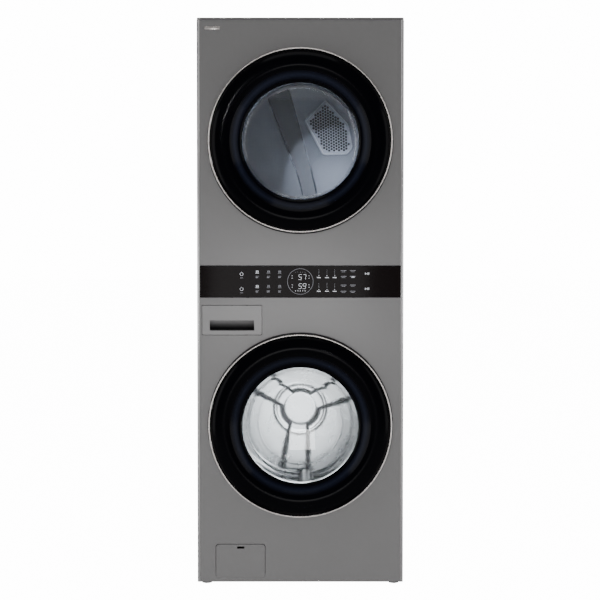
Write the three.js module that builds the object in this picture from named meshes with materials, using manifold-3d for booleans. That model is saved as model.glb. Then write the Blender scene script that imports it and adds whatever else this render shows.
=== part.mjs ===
// A stacked laundry centre: a front-loading washer below, a vented dryer above, and one control panel
// between them. Millimetres, +Z up, the front faces -Y. The origin is on the floor, at the middle of the
// footprint, so X = 0 is the plane through both door centres.

import * as THREE from "three";
import { mergeVertices } from "three/addons/utils/BufferGeometryUtils.js";
import Module from "manifold-3d";

const wasm = await Module();
wasm.setup();

// ---------------------------------------------------------------- driving dimensions

const width = 686;
const depth = 772; // from the door rings to the end of the exhaust collar
const washerHeight = 964; // floor to the control panel
const controlHeight = 104;
const dryerHeight = 821; // control panel to the top
const doorProud = 48; // door rings ahead of the front panels
const exhaustProud = 26; // exhaust collar behind the rear wall
const sheet = 1.2; // cabinet steel
const fit = 0.3; // gap between pieces that touch
const seam = 1.5; // gap between neighbouring front panels
const floorGap = 12; // front panels above the floor
const cornerRadius = 9; // rounded upright edges of the front
const panelReturn = 24; // how far the front panels wrap round the sides
const washerAxisZ = 539; // drum and door middle above the floor
const dryerAxisRise = 413; // drum and door middle above the control panel
const doorRadius = 303; // outside of the trim ring
const doorLand = 86; // how far a door laps over the panel round its port
const tubRadius = 308;
const dryerDrumRadius = 318;
const shaftRadius = 15; // washer drum's shaft
const exhaustRadius = 50.8;
const roundSides = 28; // sides of a large turned piece
const smallSides = 16; // sides of a small turned piece

const portRadius = doorRadius - doorLand; // hole in the front panels
const halfWidth = width / 2;
const frontY = -depth / 2 + doorProud; // face of the front panels
const rearY = depth / 2 - exhaustProud; // face of the rear wall
const wrapFrontY = frontY + panelReturn + seam;

const controlBottom = washerHeight;
const controlTop = controlBottom + controlHeight;
const height = controlTop + dryerHeight;
const coverLip = 8; // rim of the top cover
const coverBottom = height - coverLip;
const dryerAxisZ = controlTop + dryerAxisRise;

// ---------------------------------------------------------------- materials

const finish = (color, roughness, metalness) =>
  new THREE.MeshStandardMaterial({ color, roughness, metalness });
const graphiteSteel = finish(0x7d7b7c, 0.38, 0.7);
const galvanised = finish(0x9a9d9f, 0.5, 0.8);
const stainless = finish(0xb9bcc0, 0.25, 1.0);
const trimChrome = finish(0xd8d4cf, 0.12, 1.0);
const blackGlass = finish(0x05060a, 0.06, 0.0);
const clearGlass = new THREE.MeshStandardMaterial({
  color: 0xcfd6dc,
  roughness: 0.03,
  metalness: 0.0,
  transparent: true,
  opacity: 0.3,
});
const blackPlastic = finish(0x141416, 0.35, 0.0);
const greyPlastic = finish(0x6f7276, 0.55, 0.0);
const palePlastic = finish(0xd5d7d8, 0.5, 0.0);
const greyRubber = finish(0x6a6d70, 0.7, 0.0);
const blackRubber = finish(0x1c1c1d, 0.8, 0.0);
const castAluminium = finish(0xa5a7a8, 0.5, 0.9);
const concrete = finish(0x8c8a85, 0.95, 0.0);
const springSteel = finish(0x55585c, 0.4, 0.9);

// ---------------------------------------------------------------- solids

// A closed three.js geometry as a solid that can be cut and joined.
function solidOf(geometry) {
  const bare = geometry.index ? geometry.toNonIndexed() : geometry.clone();
  bare.deleteAttribute("normal");
  bare.deleteAttribute("uv");
  const merged = mergeVertices(bare, 1e-3);
  const corners = merged.index.array;
  const kept = [];
  for (let i = 0; i < corners.length; i += 3) {
    const [a, b, c] = corners.slice(i, i + 3);
    if (a !== b && b !== c && a !== c) kept.push(a, b, c);
  }
  return new wasm.Manifold(
    new wasm.Mesh({
      numProp: 3,
      vertProperties: merged.attributes.position.array,
      triVerts: new Uint32Array(kept),
    }),
  );
}

// The solid's triangles as a three.js geometry.
function geometryOf(solid) {
  const made = solid.getMesh();
  return new THREE.BufferGeometry()
    .setAttribute("position", new THREE.BufferAttribute(made.vertProperties, 3))
    .setIndex(new THREE.BufferAttribute(made.triVerts, 1));
}

const join = (...solids) => solids.reduce((a, b) => a.add(b));
const cut = (solid, ...tools) => tools.reduce((a, b) => a.subtract(b), solid);

// A block between two values on each axis.
function block([x0, x1], [y0, y1], [z0, z1]) {
  const made = new THREE.BoxGeometry(x1 - x0, y1 - y0, z1 - z0);
  return solidOf(made.translate((x0 + x1) / 2, (y0 + y1) / 2, (z0 + z1) / 2));
}

// A round bar along Y at x, z, from y0 to y1.
function barY(radius, [x, z], [y0, y1], sides = smallSides) {
  const made = new THREE.CylinderGeometry(radius, radius, y1 - y0, sides);
  return solidOf(made.translate(x, (y0 + y1) / 2, z));
}

// A round bar along Z at x, y, from z0 to z1.
function barZ(radius, [x, y], [z0, z1], sides = smallSides) {
  const made = new THREE.CylinderGeometry(radius, radius, z1 - z0, sides);
  return solidOf(made.rotateX(Math.PI / 2).translate(x, y, (z0 + z1) / 2));
}

// A round bar along X at y, z, from x0 to x1.
function barX(radius, [y, z], [x0, x1], sides = smallSides) {
  const made = new THREE.CylinderGeometry(radius, radius, x1 - x0, sides);
  return solidOf(made.rotateZ(Math.PI / 2).translate((x0 + x1) / 2, y, z));
}

// A closed outline of [radius, y] points turned round the Y axis.
function turned(outline, sides = roundSides) {
  const points = outline.map(([r, y]) => new THREE.Vector2(r, y));
  if (THREE.ShapeUtils.area(points) < 0) points.reverse();
  const onAxis = points.findIndex((p, i) => p.x === 0 && points.at(i - 1).x === 0);
  const ordered =
    onAxis < 0
      ? [...points, points[0]]
      : [...points.slice(onAxis), ...points.slice(0, onAxis)];
  return solidOf(new THREE.LatheGeometry(ordered, sides));
}

// The outline of a bent strip of even thickness that follows a path of [u, v] points.
function strip(path, thickness) {
  const at = path.map(([u, v]) => new THREE.Vector2(u, v));
  const side = (sign) =>
    at.map((p, i) => {
      const before = i > 0 ? p.clone().sub(at[i - 1]).normalize() : null;
      const after = i < at.length - 1 ? at[i + 1].clone().sub(p).normalize() : null;
      const along = (before ?? after).clone().add(after ?? before).normalize();
      const normal = new THREE.Vector2(-along.y, along.x);
      const across = before ?? after;
      const stretch = 1 / normal.dot(new THREE.Vector2(-across.y, across.x));
      const moved = p.clone().addScaledVector(normal, (sign * thickness * stretch) / 2);
      return [moved.x, moved.y];
    });
  return [...side(1), ...side(-1).reverse()];
}

const shapeOf = (outline) =>
  new THREE.Shape(outline.map(([u, v]) => new THREE.Vector2(u, v)));

// A flat shape in X and Y, raised from z0 to z1.
function prismZ(shape, [z0, z1], curveSegments = 4) {
  const options = { depth: z1 - z0, bevelEnabled: false, curveSegments };
  return solidOf(new THREE.ExtrudeGeometry(shape, options).translate(0, 0, z0));
}

// A flat shape in X and Z, run from y0 to y1.
function prismY(shape, [y0, y1], curveSegments = 4) {
  const options = { depth: y1 - y0, bevelEnabled: false, curveSegments };
  const made = new THREE.ExtrudeGeometry(shape, options).rotateX(Math.PI / 2);
  return solidOf(made.translate(0, y1, 0));
}

// A rectangle with round corners.
function roundedRectangle([u0, u1], [v0, v1], radius) {
  const shape = new THREE.Shape();
  shape.absarc(u1 - radius, v0 + radius, radius, -Math.PI / 2, 0);
  shape.absarc(u1 - radius, v1 - radius, radius, 0, Math.PI / 2);
  shape.absarc(u0 + radius, v1 - radius, radius, Math.PI / 2, Math.PI);
  shape.absarc(u0 + radius, v0 + radius, radius, Math.PI, 1.5 * Math.PI);
  return shape;
}

// Points on an arc in degrees, both ends included.
function arc(radius, from, to, steps, [u, v] = [0, 0]) {
  return Array.from({ length: steps + 1 }, (_, i) => {
    const angle = THREE.MathUtils.degToRad(from + ((to - from) * i) / steps);
    return [u + radius * Math.cos(angle), v + radius * Math.sin(angle)];
  });
}

// Turns a solid round the Y axis, in degrees.
const spun = (solid, degrees) => solid.rotate([0, degrees, 0]);

// ---------------------------------------------------------------- groups

const stack = new THREE.Group();
const washer = new THREE.Group(); // its own Z = 0 is the washer drum's axis
washer.position.z = washerAxisZ;
const dryer = new THREE.Group(); // its own Z = 0 is the dryer drum's axis
dryer.position.z = dryerAxisZ;
stack.add(washer, dryer);

function piece(parent, name, solid, material) {
  const mesh = new THREE.Mesh(geometryOf(solid), material);
  mesh.name = name;
  parent.add(mesh);
  return mesh;
}

// ---------------------------------------------------------------- hinge and latch sizes, used by the
// front panels and by both doors. Y here counts from the face of the front panels.

const hingeX = 17 - doorRadius;
const hingeY = -26;
const hingePinRadius = 2.3;
const hingeHoleRadius = 2.9;
const lugRadius = 4.2;
const lugInner = 54; // lugs reach from this height to lugOuter, above and below the door's middle
const lugOuter = 66;
const hookX = portRadius + 40;
const hookWidth = 10;
const hookHeight = 20;
const hookReach = 22;
const hookRoom = 8;

// ---------------------------------------------------------------- front openings

const drawer = {
  x: [17 - halfWidth, 215 - halfWidth],
  z: [controlBottom - 125, controlBottom - 28],
};
const service = { x: [62 - halfWidth, 225 - halfWidth], z: [27, 138], radius: 10 };
const frontGap = 1.5; // round the drawer and the service cover
const serviceHinge = { y: frontY + 4.8, z: 32, pin: 2, hole: 2.5, ear: 3 };
const widened = ([a, b], by) => [a - by, b + by];

// The pressed front: a face and two round corners that run back along the sides.
function frontShell([z0, z1], thickness) {
  const half = (inset, reach) => {
    const r = cornerRadius - inset;
    const [u, v] = [halfWidth - cornerRadius, frontY + cornerRadius];
    return [[u + r, reach], ...arc(r, 0, -90, 4, [u, v])];
  };
  const backY = frontY + panelReturn;
  const outer = half(0, backY);
  const inner = half(thickness, backY);
  const mirrored = (side) => side.map(([x, y]) => [-x, y]).reverse();
  const outline = [...outer, ...mirrored(outer), ...mirrored(inner).reverse(), ...inner.reverse()];
  return prismZ(shapeOf(outline), [z0, z1]);
}

// The holes that a door needs in its front panel, about the door's middle.
function doorPort(z) {
  const slotX = [hookX - hookWidth / 2 - hookRoom, hookX + hookWidth / 2 + hookRoom];
  const slotZ = [z - hookHeight / 2 - hookRoom, z + hookHeight / 2 + hookRoom];
  const through = [frontY - 5, frontY + 5];
  return [
    barY(portRadius, [0, z], through, roundSides),
    block(slotX, through, slotZ),
  ];
}

const collarDepth = 11;
function collar(z) {
  const ring = [
    [portRadius, 0.2],
    [portRadius + sheet, 0.2],
    [portRadius + sheet, collarDepth],
    [portRadius, collarDepth],
  ];
  return turned(ring).translate([0, frontY, z]);
}

// ---------------------------------------------------------------- cabinet: wrap, base, deck and cover

const wrapInset = sheet / 2;
const flange = 16;
const exhaust = { x: 274, z: controlTop + 67, radius: exhaustRadius, wall: 1 };
const inlet = { x: [-232, -172], z: controlBottom - 34, radius: 13, hole: 14.5 };
const access = { x: [73 - halfWidth, halfWidth - 73], z: [150, controlBottom - 114], lap: 18 };

function cabinetWrap() {
  const x = halfWidth - wrapInset;
  const path = [
    [flange - x, wrapFrontY],
    [-x, wrapFrontY],
    [-x, rearY - wrapInset],
    [x, rearY - wrapInset],
    [x, wrapFrontY],
    [x - flange, wrapFrontY],
  ];
  const shell = prismZ(shapeOf(strip(path, sheet)), [floorGap, coverBottom - fit]);
  const through = [rearY - 5, rearY + 5];
  return cut(
    shell,
    block(access.x, through, access.z),
    barY(exhaust.radius + 2, [exhaust.x, exhaust.z], through),
    ...inlet.x.map((x) => barY(inlet.hole, [x, inlet.z], through)),
  );
}
piece(stack, "cabinet_wrap", cabinetWrap(), graphiteSteel);

const accessCover = block(
  widened(access.x, access.lap),
  [rearY + fit, rearY + fit + sheet],
  widened(access.z, access.lap),
);
piece(stack, "rear_access_panel", accessCover, galvanised);

const baseX = halfWidth - sheet - fit;
const baseY = [wrapFrontY + wrapInset + fit, rearY - sheet - fit];
const baseFloor = { z: 14, thickness: 2, wall: 22 };
const footAt = { x: halfWidth - 29, front: frontY + 50, rear: rearY - 40 };
const footStemRadius = 5.5;
const feet = [
  ["front_left", -footAt.x, footAt.front],
  ["front_right", footAt.x, footAt.front],
  ["rear_left", -footAt.x, footAt.rear],
  ["rear_right", footAt.x, footAt.rear],
];

function basePan() {
  const { z, thickness, wall } = baseFloor;
  const tray = block([-baseX, baseX], baseY, [z, z + wall]);
  const inside = block(
    widened([-baseX, baseX], -thickness),
    widened(baseY, -thickness),
    [z + thickness, z + wall + 5],
  );
  const holes = feet.map(([, x, y]) => barZ(footStemRadius + 0.8, [x, y], [0, 60]));
  return cut(tray, inside, ...holes);
}
piece(stack, "base_pan", basePan(), galvanised);

// A levelling foot: rubber pad, hexagonal nut and threaded stem.
const foot = { pad: 18, padHeight: 9, nut: 9, stemTop: 34 };
for (const [name, x, y] of feet) {
  const profile = [
    [0, 0],
    [foot.pad - 2, 0],
    [foot.pad, 2],
    [foot.pad, foot.padHeight - 2],
    [foot.pad - 6, foot.padHeight],
    [0, foot.padHeight],
  ];
  const pad = turned(profile, 12).rotate([90, 0, 0]);
  const nut = barZ(foot.nut, [0, 0], [foot.padHeight - 1, baseFloor.z - 1], 6);
  const stem = barZ(footStemRadius, [0, 0], [foot.padHeight - 1, foot.stemTop], 8);
  const mesh = piece(stack, `foot_${name}`, join(pad, nut, stem), blackRubber);
  mesh.position.set(x, y, 0);
}

const deck = { z: controlTop + 2, thickness: 2.4, skirt: 16 }; // stands between the two machines
const deckTop = deck.z + deck.thickness;
function middleDeck() {
  const x = [-baseX, baseX];
  const plate = block(x, baseY, [deck.z - deck.skirt, deckTop]);
  const under = block(
    widened(x, -deck.thickness),
    widened(baseY, -deck.thickness),
    [deck.z - deck.skirt - 5, deck.z],
  );
  return cut(plate, under);
}
piece(stack, "middle_deck", middleDeck(), galvanised);

function topCover() {
  const outline = (inset) => {
    const r = cornerRadius - inset;
    const [u, v] = [halfWidth - cornerRadius, frontY + cornerRadius];
    const right = [[u + r, rearY - inset], ...arc(r, 0, -90, 4, [u, v])];
    const left = right.map(([x, y]) => [-x, y]).reverse();
    return shapeOf([...right, ...left]);
  };
  return cut(
    prismZ(outline(0), [coverBottom, height]),
    prismZ(outline(2), [coverBottom - 5, height - sheet]),
  );
}
piece(stack, "top_cover", topCover(), graphiteSteel);

// ---------------------------------------------------------------- front panels and control panel

function washerFront() {
  const through = [frontY - 5, frontY + 5];
  const shell = frontShell([floorGap, controlBottom - seam], sheet);
  const drawerHole = block(widened(drawer.x, frontGap), through, widened(drawer.z, frontGap));
  const serviceShape = roundedRectangle(
    widened(service.x, frontGap),
    [service.z[0] - 2, service.z[1] + frontGap],
    service.radius - 4,
  );
  const { y, z, hole, ear } = serviceHinge;
  const ears = [service.x[0] - frontGap - ear, service.x[1] + frontGap].map((x) =>
    cut(
      block([x, x + ear], [frontY + sheet / 2, y + 6], [z - 6, z + 6]),
      barX(hole, [y, z], [x - 1, x + ear + 1], 12),
    ),
  );
  return join(
    cut(
      join(shell, collar(washerAxisZ)),
      ...doorPort(washerAxisZ),
      drawerHole,
      prismY(serviceShape, through),
    ),
    ...ears,
  );
}
piece(stack, "washer_front_panel", washerFront(), graphiteSteel);

const dryerShell = frontShell([controlTop + seam, coverBottom - seam], sheet);
const dryerFront = cut(dryerShell, ...doorPort(dryerAxisZ));
piece(stack, "dryer_front_panel", dryerFront, graphiteSteel);

const fasciaThickness = 3;
const controlFascia = frontShell([controlBottom, controlTop], fasciaThickness);
piece(stack, "control_fascia", controlFascia, blackGlass);

// ---------------------------------------------------------------- service cover and drain pump

function serviceCover() {
  const plate = prismY(
    roundedRectangle(service.x, service.z, service.radius),
    [frontY, frontY + 2.5],
  );
  const notchX = [service.x[0] + 70, service.x[0] + 94];
  const notch = block(notchX, [frontY - 5, frontY + 5], [service.z[1] - 14, service.z[1] - 7]);
  const { y, z, pin, ear } = serviceHinge;
  const knuckle = (x) =>
    join(
      block([x, x + 8], [frontY + 1, y], [z - 3, z + 3]),
      barX(3, [y, z], [x, x + 8], 8),
    );
  const pinLeft = barX(pin, [y, z], [service.x[0] - frontGap - ear, service.x[0] + 10], 8);
  const pinRight = barX(pin, [y, z], [service.x[1] - 10, service.x[1] + frontGap + ear], 8);
  return join(
    cut(plate, notch),
    knuckle(service.x[0] + 2),
    knuckle(service.x[1] - 10),
    pinLeft,
    pinRight,
  );
}
piece(stack, "service_cover", serviceCover(), graphiteSteel);

const middle = ([a, b]) => (a + b) / 2;
const pump = {
  x: middle(service.x),
  z: middle(service.z) - 4,
  radius: 34,
  cap: 30,
  front: frontY + 36,
  length: 130,
};
const pumpBody = join(
  barY(pump.radius, [pump.x, pump.z], [pump.front, pump.front + pump.length]),
  barY(26, [pump.x, pump.z], [pump.front + pump.length - 1, pump.front + pump.length + 50]),
  barZ(16, [pump.x, pump.front + 60], [pump.z, pump.z + 75], 16),
);
piece(stack, "drain_pump", pumpBody, greyPlastic);

// The filter cap screws into the pump's mouth and has a bar to turn it by.
const capBack = pump.front - 0.5;
const filterCap = join(
  barY(pump.cap, [0, 0], [capBack - 8, capBack]),
  block([-pump.cap + 4, pump.cap - 4], [capBack - 20, capBack - 7], [-5, 5]),
);
const cap = piece(stack, "pump_filter_cap", filterCap, palePlastic);
cap.position.set(pump.x, 0, pump.z);

// ---------------------------------------------------------------- water inlet

const valveBlock = join(
  block([inlet.x[0] - 20, inlet.x[1] + 20], [rearY - 42, rearY - 4], [inlet.z - 16, inlet.z + 16]),
  ...inlet.x.map((x) =>
    cut(
      barY(inlet.radius, [x, inlet.z], [rearY - 10, rearY + 22]),
      barY(inlet.radius - 4, [x, inlet.z], [rearY + 2, rearY + 30], 12),
    ),
  ),
);
piece(stack, "inlet_valves", valveBlock, greyPlastic);

// ---------------------------------------------------------------- detergent dispenser

const tray = {
  x: widened(drawer.x, -8),
  y: [frontY + 27, frontY + 220],
  z: [drawer.z[0] + 7, drawer.z[1] - 14],
  wall: 2.5,
};
const drawerThickness = 6;
const grip = {
  x: [drawer.x[0] + 25, drawer.x[1] - 26],
  z: [drawer.z[0] + 15, drawer.z[0] + 48],
  depth: 22,
  wall: 3,
};
const gripBoss = { y: [frontY, frontY + grip.depth + grip.wall] };

function drawerFront() {
  const plate = prismY(roundedRectangle(drawer.x, drawer.z, 3), [frontY, frontY + drawerThickness], 2);
  const boss = block(widened(grip.x, grip.wall), gripBoss.y, widened(grip.z, grip.wall));
  const pocket = block(grip.x, [frontY - 5, frontY + grip.depth], grip.z);
  return cut(join(plate, boss), pocket);
}
piece(stack, "drawer_front", drawerFront(), graphiteSteel);

function drawerTray() {
  const { x, y, z, wall } = tray;
  const divider = x[0] + 118;
  const inner = widened(y, -wall);
  const main = block([x[0] + wall, divider], inner, [z[0] + wall, z[1] + 5]);
  const side = block([divider + wall, x[1] - wall], inner, [z[0] + wall, z[1] + 5]);
  return cut(block(x, y, z), main, side);
}
piece(stack, "dispenser_tray", drawerTray(), palePlastic);

const trayRoom = 2.5;
const housingWall = 2;
function dispenserHousing() {
  const x = widened(tray.x, trayRoom);
  const z = widened(tray.z, trayRoom);
  const back = tray.y[1] + 12;
  const front = frontY + drawerThickness + fit;
  return cut(
    block(widened(x, housingWall), [front, back + housingWall], widened(z, housingWall)),
    block(x, [front - 5, back], z),
  );
}
piece(stack, "dispenser_housing", dispenserHousing(), palePlastic);

// ---------------------------------------------------------------- washer tub, on springs and dampers
// From here to the doors, heights in the washer group count from the drum's axis.

const tub = {
  radius: tubRadius,
  wall: 5,
  front: frontY + 70,
  back: rearY - 114,
  rearWall: 6,
  neck: portRadius - 13,
};
const hub = { radius: shaftRadius + 31, length: 32, bore: shaftRadius + 1.4 };
const springAt = { x: 190, y: -40 };
const damperAt = { x: 150, y: -40 };
const lugSize = 14;
const springLug = Math.sqrt(tub.radius ** 2 - springAt.x ** 2);
const damperLug = -Math.sqrt(tub.radius ** 2 - damperAt.x ** 2);
const springBottom = springLug + 20;
const damperTop = damperLug - 12;

function washerTub() {
  const { radius, wall, front, back, rearWall } = tub;
  const shell = turned([
    [radius - wall, front],
    [radius, front],
    [radius, back + rearWall],
    [hub.radius, back + rearWall],
    [hub.radius, back + rearWall + hub.length],
    [hub.bore, back + rearWall + hub.length],
    [hub.bore, back],
    [radius - wall, back],
  ]);
  const lug = ({ x, y }, z) => block([x - lugSize, x + lugSize], [y - lugSize, y + lugSize], z);
  const lugs = [-1, 1].flatMap((side) => [
    lug({ x: side * springAt.x, y: springAt.y }, [springLug - 30, springBottom - fit]),
    lug({ x: side * damperAt.x, y: damperAt.y }, [damperTop + fit, damperLug + 30]),
  ]);
  const room = barY(radius - wall, [0, 0], [front, back], roundSides);
  return join(shell, ...lugs.map((made) => cut(made, room)));
}
piece(washer, "washer_tub", washerTub(), palePlastic);

const coverFront = tub.front - 16;
const tubCover = turned([
  [tub.neck, coverFront - 14],
  [tub.neck + 4, coverFront - 14],
  [tub.neck + 4, coverFront],
  [tub.radius, coverFront],
  [tub.radius, tub.front - fit],
  [tub.radius - tub.wall, tub.front - fit],
  [tub.radius - tub.wall, coverFront + 4],
  [tub.neck, coverFront + 4],
]);
piece(washer, "tub_front_cover", tubCover, palePlastic);

// A concrete weight bolted to the lower half of the tub's front.
const weightOuter = tub.radius - 8;
const weightInner = tub.neck + 28;
const weightOutline = [...arc(weightOuter, 200, 340, 14), ...arc(weightInner, 340, 200, 14)];
const weight = prismY(shapeOf(weightOutline), [coverFront - 32, coverFront - 2]);
piece(washer, "counterweight", weight, concrete);

const stator = { inner: hub.radius + 16, outer: hub.radius + 80, length: 34 };
const statorFront = tub.back + tub.rearWall + fit;
const statorRing = turned([
  [stator.inner, statorFront],
  [stator.outer, statorFront],
  [stator.outer, statorFront + stator.length],
  [stator.inner, statorFront + stator.length],
], 24);
piece(washer, "motor_stator", statorRing, blackPlastic);

// The bellows between the door port and the tub's neck.
const gasket = { thickness: 3, neckFit: 0.7 };
const gasketNeck = tub.neck + 4 + gasket.neckFit + gasket.thickness / 2;
const gasketPath = [
  [portRadius - 3, frontY + 4],
  [portRadius - 16, frontY + 8],
  [portRadius - 16, frontY + 20],
  [portRadius - 3, frontY + 31],
  [gasketNeck, coverFront - 12],
  [gasketNeck, coverFront - 4],
];
piece(washer, "door_gasket", turned(strip(gasketPath, gasket.thickness)), greyRubber);

// A hanging spring: wire wound round an upright axis.
class Helix extends THREE.Curve {
  constructor(radius, turns, length) {
    super();
    Object.assign(this, { radius, turns, length });
  }
  getPoint(t, target = new THREE.Vector3()) {
    const angle = 2 * Math.PI * this.turns * t;
    const { radius, length } = this;
    return target.set(radius * Math.cos(angle), radius * Math.sin(angle), length * t);
  }
}
const spring = { radius: 12, wire: 2, turns: 10, stepsPerTurn: 6 };
const springTop = deck.z - washerAxisZ - 6;
function springCoil() {
  const helix = new Helix(spring.radius, spring.turns, springTop - springBottom - 2 * spring.wire);
  const wire = new THREE.Shape().absarc(0, 0, spring.wire, 0, 2 * Math.PI);
  const steps = spring.turns * spring.stepsPerTurn;
  const options = { steps, extrudePath: helix, curveSegments: 2 };
  return solidOf(new THREE.ExtrudeGeometry(wire, options));
}
const damper = { tube: 14, rod: 6, tubeTop: 170 - washerAxisZ };
const damperBottom = baseFloor.z + baseFloor.thickness + fit - washerAxisZ;
const damperProfile = [
  [0, damperBottom],
  [damper.tube, damperBottom],
  [damper.tube, damper.tubeTop],
  [damper.rod, damper.tubeTop],
  [damper.rod, damperTop],
  [0, damperTop],
];
for (const [side, sign] of [["left", -1], ["right", 1]]) {
  const coil = piece(washer, `spring_${side}`, springCoil(), springSteel);
  coil.position.set(sign * springAt.x, springAt.y, springBottom + spring.wire);
  const upright = turned(damperProfile, 12).rotate([90, 0, 0]);
  const strut = piece(washer, `damper_${side}`, upright, castAluminium);
  strut.position.set(sign * damperAt.x, damperAt.y, 0);
}

// ---------------------------------------------------------------- washer drum and its drive

const drum = {
  radius: tub.radius - 26,
  thickness: 1.5,
  front: tub.front + 6,
  back: tub.back - 22,
  mouth: portRadius + 7,
};
const drumPath = [
  [drum.mouth, drum.front],
  [drum.radius - 20, drum.front],
  [drum.radius - drum.thickness / 2, drum.front + 14],
  [drum.radius - drum.thickness / 2, drum.back - 16],
  [drum.radius - 18, drum.back],
  [0, drum.back],
];
piece(washer, "washer_drum", turned(strip(drumPath, drum.thickness)), stainless);

// Lifters: hollow-looking ridges that carry the load up the wall.
const lifter = { height: 56, base: 15, top: 4, length: [drum.front + 40, drum.back - 30] };
function lifterRidge(inside) {
  const foot = arc(inside - fit, -lifter.base / 2, lifter.base / 2, 4);
  const crest = arc(inside - lifter.height, lifter.top / 2, -lifter.top / 2, 2);
  return prismY(shapeOf([...foot, ...crest]), lifter.length);
}
const drumInside = (drum.radius - drum.thickness) * Math.cos(Math.PI / roundSides);
[85, -35, 205].forEach((angle, i) => {
  const ridge = spun(lifterRidge(drumInside), angle);
  piece(washer, `washer_lifter_${i + 1}`, ridge, greyPlastic);
});

const spider = { arm: drum.radius - 20, armWidth: 34, hub: hub.radius + 16, thickness: 14 };
const spiderFront = drum.back + drum.thickness / 2 + fit;
const rotor = { radius: stator.outer + 8, wall: 3, plate: 4 };
const rotorBack = statorFront + stator.length + 10;
function drumSpider() {
  const y = [spiderFront, spiderFront + spider.thickness];
  const arm = block([0, spider.arm], y, [-spider.armWidth / 2, spider.armWidth / 2]);
  return join(
    barY(spider.hub, [0, 0], y, 20),
    ...[0, 120, 240].map((angle) => spun(arm, angle + 25)),
    barY(shaftRadius, [0, 0], [y[0] + 2, rotorBack + 4]),
  );
}
piece(washer, "drum_spider", drumSpider(), castAluminium);

const rotorCup = turned([
  [shaftRadius + fit, rotorBack - rotor.plate],
  [rotor.radius - rotor.wall, rotorBack - rotor.plate],
  [rotor.radius - rotor.wall, statorFront + 4],
  [rotor.radius, statorFront + 4],
  [rotor.radius, rotorBack],
  [shaftRadius + fit, rotorBack],
], 24);
piece(washer, "motor_rotor", rotorCup, galvanised);

// ---------------------------------------------------------------- doors
// Both doors are turned about their middle. In a door's group Y = 0 is the face of the front panel.

const ring = { inner: doorRadius - 4.6, back: 11.5 - doorProud };
const frame = { radius: doorRadius - 1.5, inner: portRadius - 11, back: -4, wall: 3 };
const bowlRim = frame.inner - 1.5;
const bowlSeat = frame.back - 5.5;

const ringOutline = [
  [ring.inner, ring.back],
  [doorRadius, ring.back],
  [doorRadius, 2 - doorProud],
  [doorRadius - 1.5, -doorProud],
  [ring.inner, -doorProud],
];

const frameOutline = [
  [frame.radius, ring.back + fit],
  [frame.radius, frame.back - 11],
  [frame.radius - 11, frame.back],
  [frame.inner, frame.back],
  [frame.inner, frame.back - 8],
  [frame.inner + frame.wall, frame.back - 8],
  [frame.inner + frame.wall, frame.back - frame.wall],
  [frame.radius - 12, frame.back - frame.wall],
  [frame.radius - frame.wall, frame.back - 12],
  [frame.radius - frame.wall, ring.back + fit],
];

const fasciaGlass = 3.5;
const fasciaPath = [
  [ring.inner - 2, 3.4 - doorProud],
  [portRadius + 18, 10 - doorProud],
  [portRadius - 3, 27 - doorProud],
  [bowlRim + 1, bowlSeat - 6],
];

const bowlGlass = 4;
const bowlThroat = bowlRim - 16;
const bowlRimPath = [
  [bowlRim, bowlSeat],
  [bowlThroat + 6, bowlSeat],
];
const bowls = {
  washer: [...bowlRimPath, [bowlThroat - 13, 50], [bowlThroat - 50, 98], [0, 113]],
  dryer: [...bowlRimPath, [bowlThroat - 18, 22], [0, 30]],
};

// The fixed half of a hinge: a plate on the front panel with two lugs.
function hingeBracket() {
  const face = [-2.8, -fit];
  const spine = block([hingeX + 6, hingeX + 24], face, [-80, 80]);
  const lugs = [-1, 1].map((side) => {
    const z = [side * lugInner, side * lugOuter].sort((a, b) => a - b);
    return join(
      block([hingeX - 6, hingeX + 24], face, widened(z, 8)),
      block([hingeX - 2, hingeX + lugRadius], [hingeY, -fit], z),
      barZ(lugRadius, [hingeX, hingeY], z, 16),
    );
  });
  return cut(join(spine, ...lugs), barZ(hingeHoleRadius, [hingeX, hingeY], [-90, 90], 12));
}

// The moving half: a leaf inside the door's back, with the pin through both lugs.
function hingeLeaf() {
  const z = [1 - lugInner, lugInner - 1];
  const leafY = [frame.back - frame.wall - 3, frame.back - frame.wall - fit];
  const webX = [hingeX + 6, hingeX + 9];
  return join(
    block([webX[0], hingeX + 42], leafY, z),
    block(webX, [hingeY - 2, leafY[1]], z),
    block([hingeX, webX[1]], [hingeY - 2, hingeY + 2], z),
    barZ(5, [hingeX, hingeY], z, 16),
    barZ(hingePinRadius, [hingeX, hingeY], [-lugOuter - 4, lugOuter + 4], 12),
  );
}

// The door's back: a channel ring, open to the front, with the latch hook and room for the hinge lugs.
function doorFrame() {
  const lugRoom = [-1, 1].map((side) => {
    const z = [side * (lugInner - 2), side * (lugOuter + 10)].sort((a, b) => a - b);
    return block([hingeX - 34, hingeX + 28], [ring.back, 5], z);
  });
  const x = [hookX - hookWidth / 2, hookX + hookWidth / 2];
  const z = [-hookHeight / 2, hookHeight / 2];
  const hook = cut(
    block(x, [frame.back - 1, hookReach], z),
    block([x[0] - 1, x[0] + 5], [8, 15], widened(z, 1)),
  );
  return join(cut(turned(frameOutline), ...lugRoom), hook);
}

function door(machine, bowlName) {
  const port = new THREE.Group();
  port.position.y = frontY;
  const parent = machine === "washer" ? washer : dryer;
  parent.add(port);
  piece(port, `${machine}_hinge_bracket`, hingeBracket(), galvanised);
  piece(port, `${machine}_door_hinge_leaf`, hingeLeaf(), galvanised);
  piece(port, `${machine}_door_frame`, doorFrame(), blackPlastic);
  piece(port, `${machine}_door_ring`, turned(ringOutline), trimChrome);
  piece(port, `${machine}_door_fascia`, turned(strip(fasciaPath, fasciaGlass)), blackGlass);
  piece(port, `${machine}_door_${bowlName}`, turned(strip(bowls[machine], bowlGlass)), clearGlass);
}
door("washer", "bowl");
door("dryer", "window");

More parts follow.
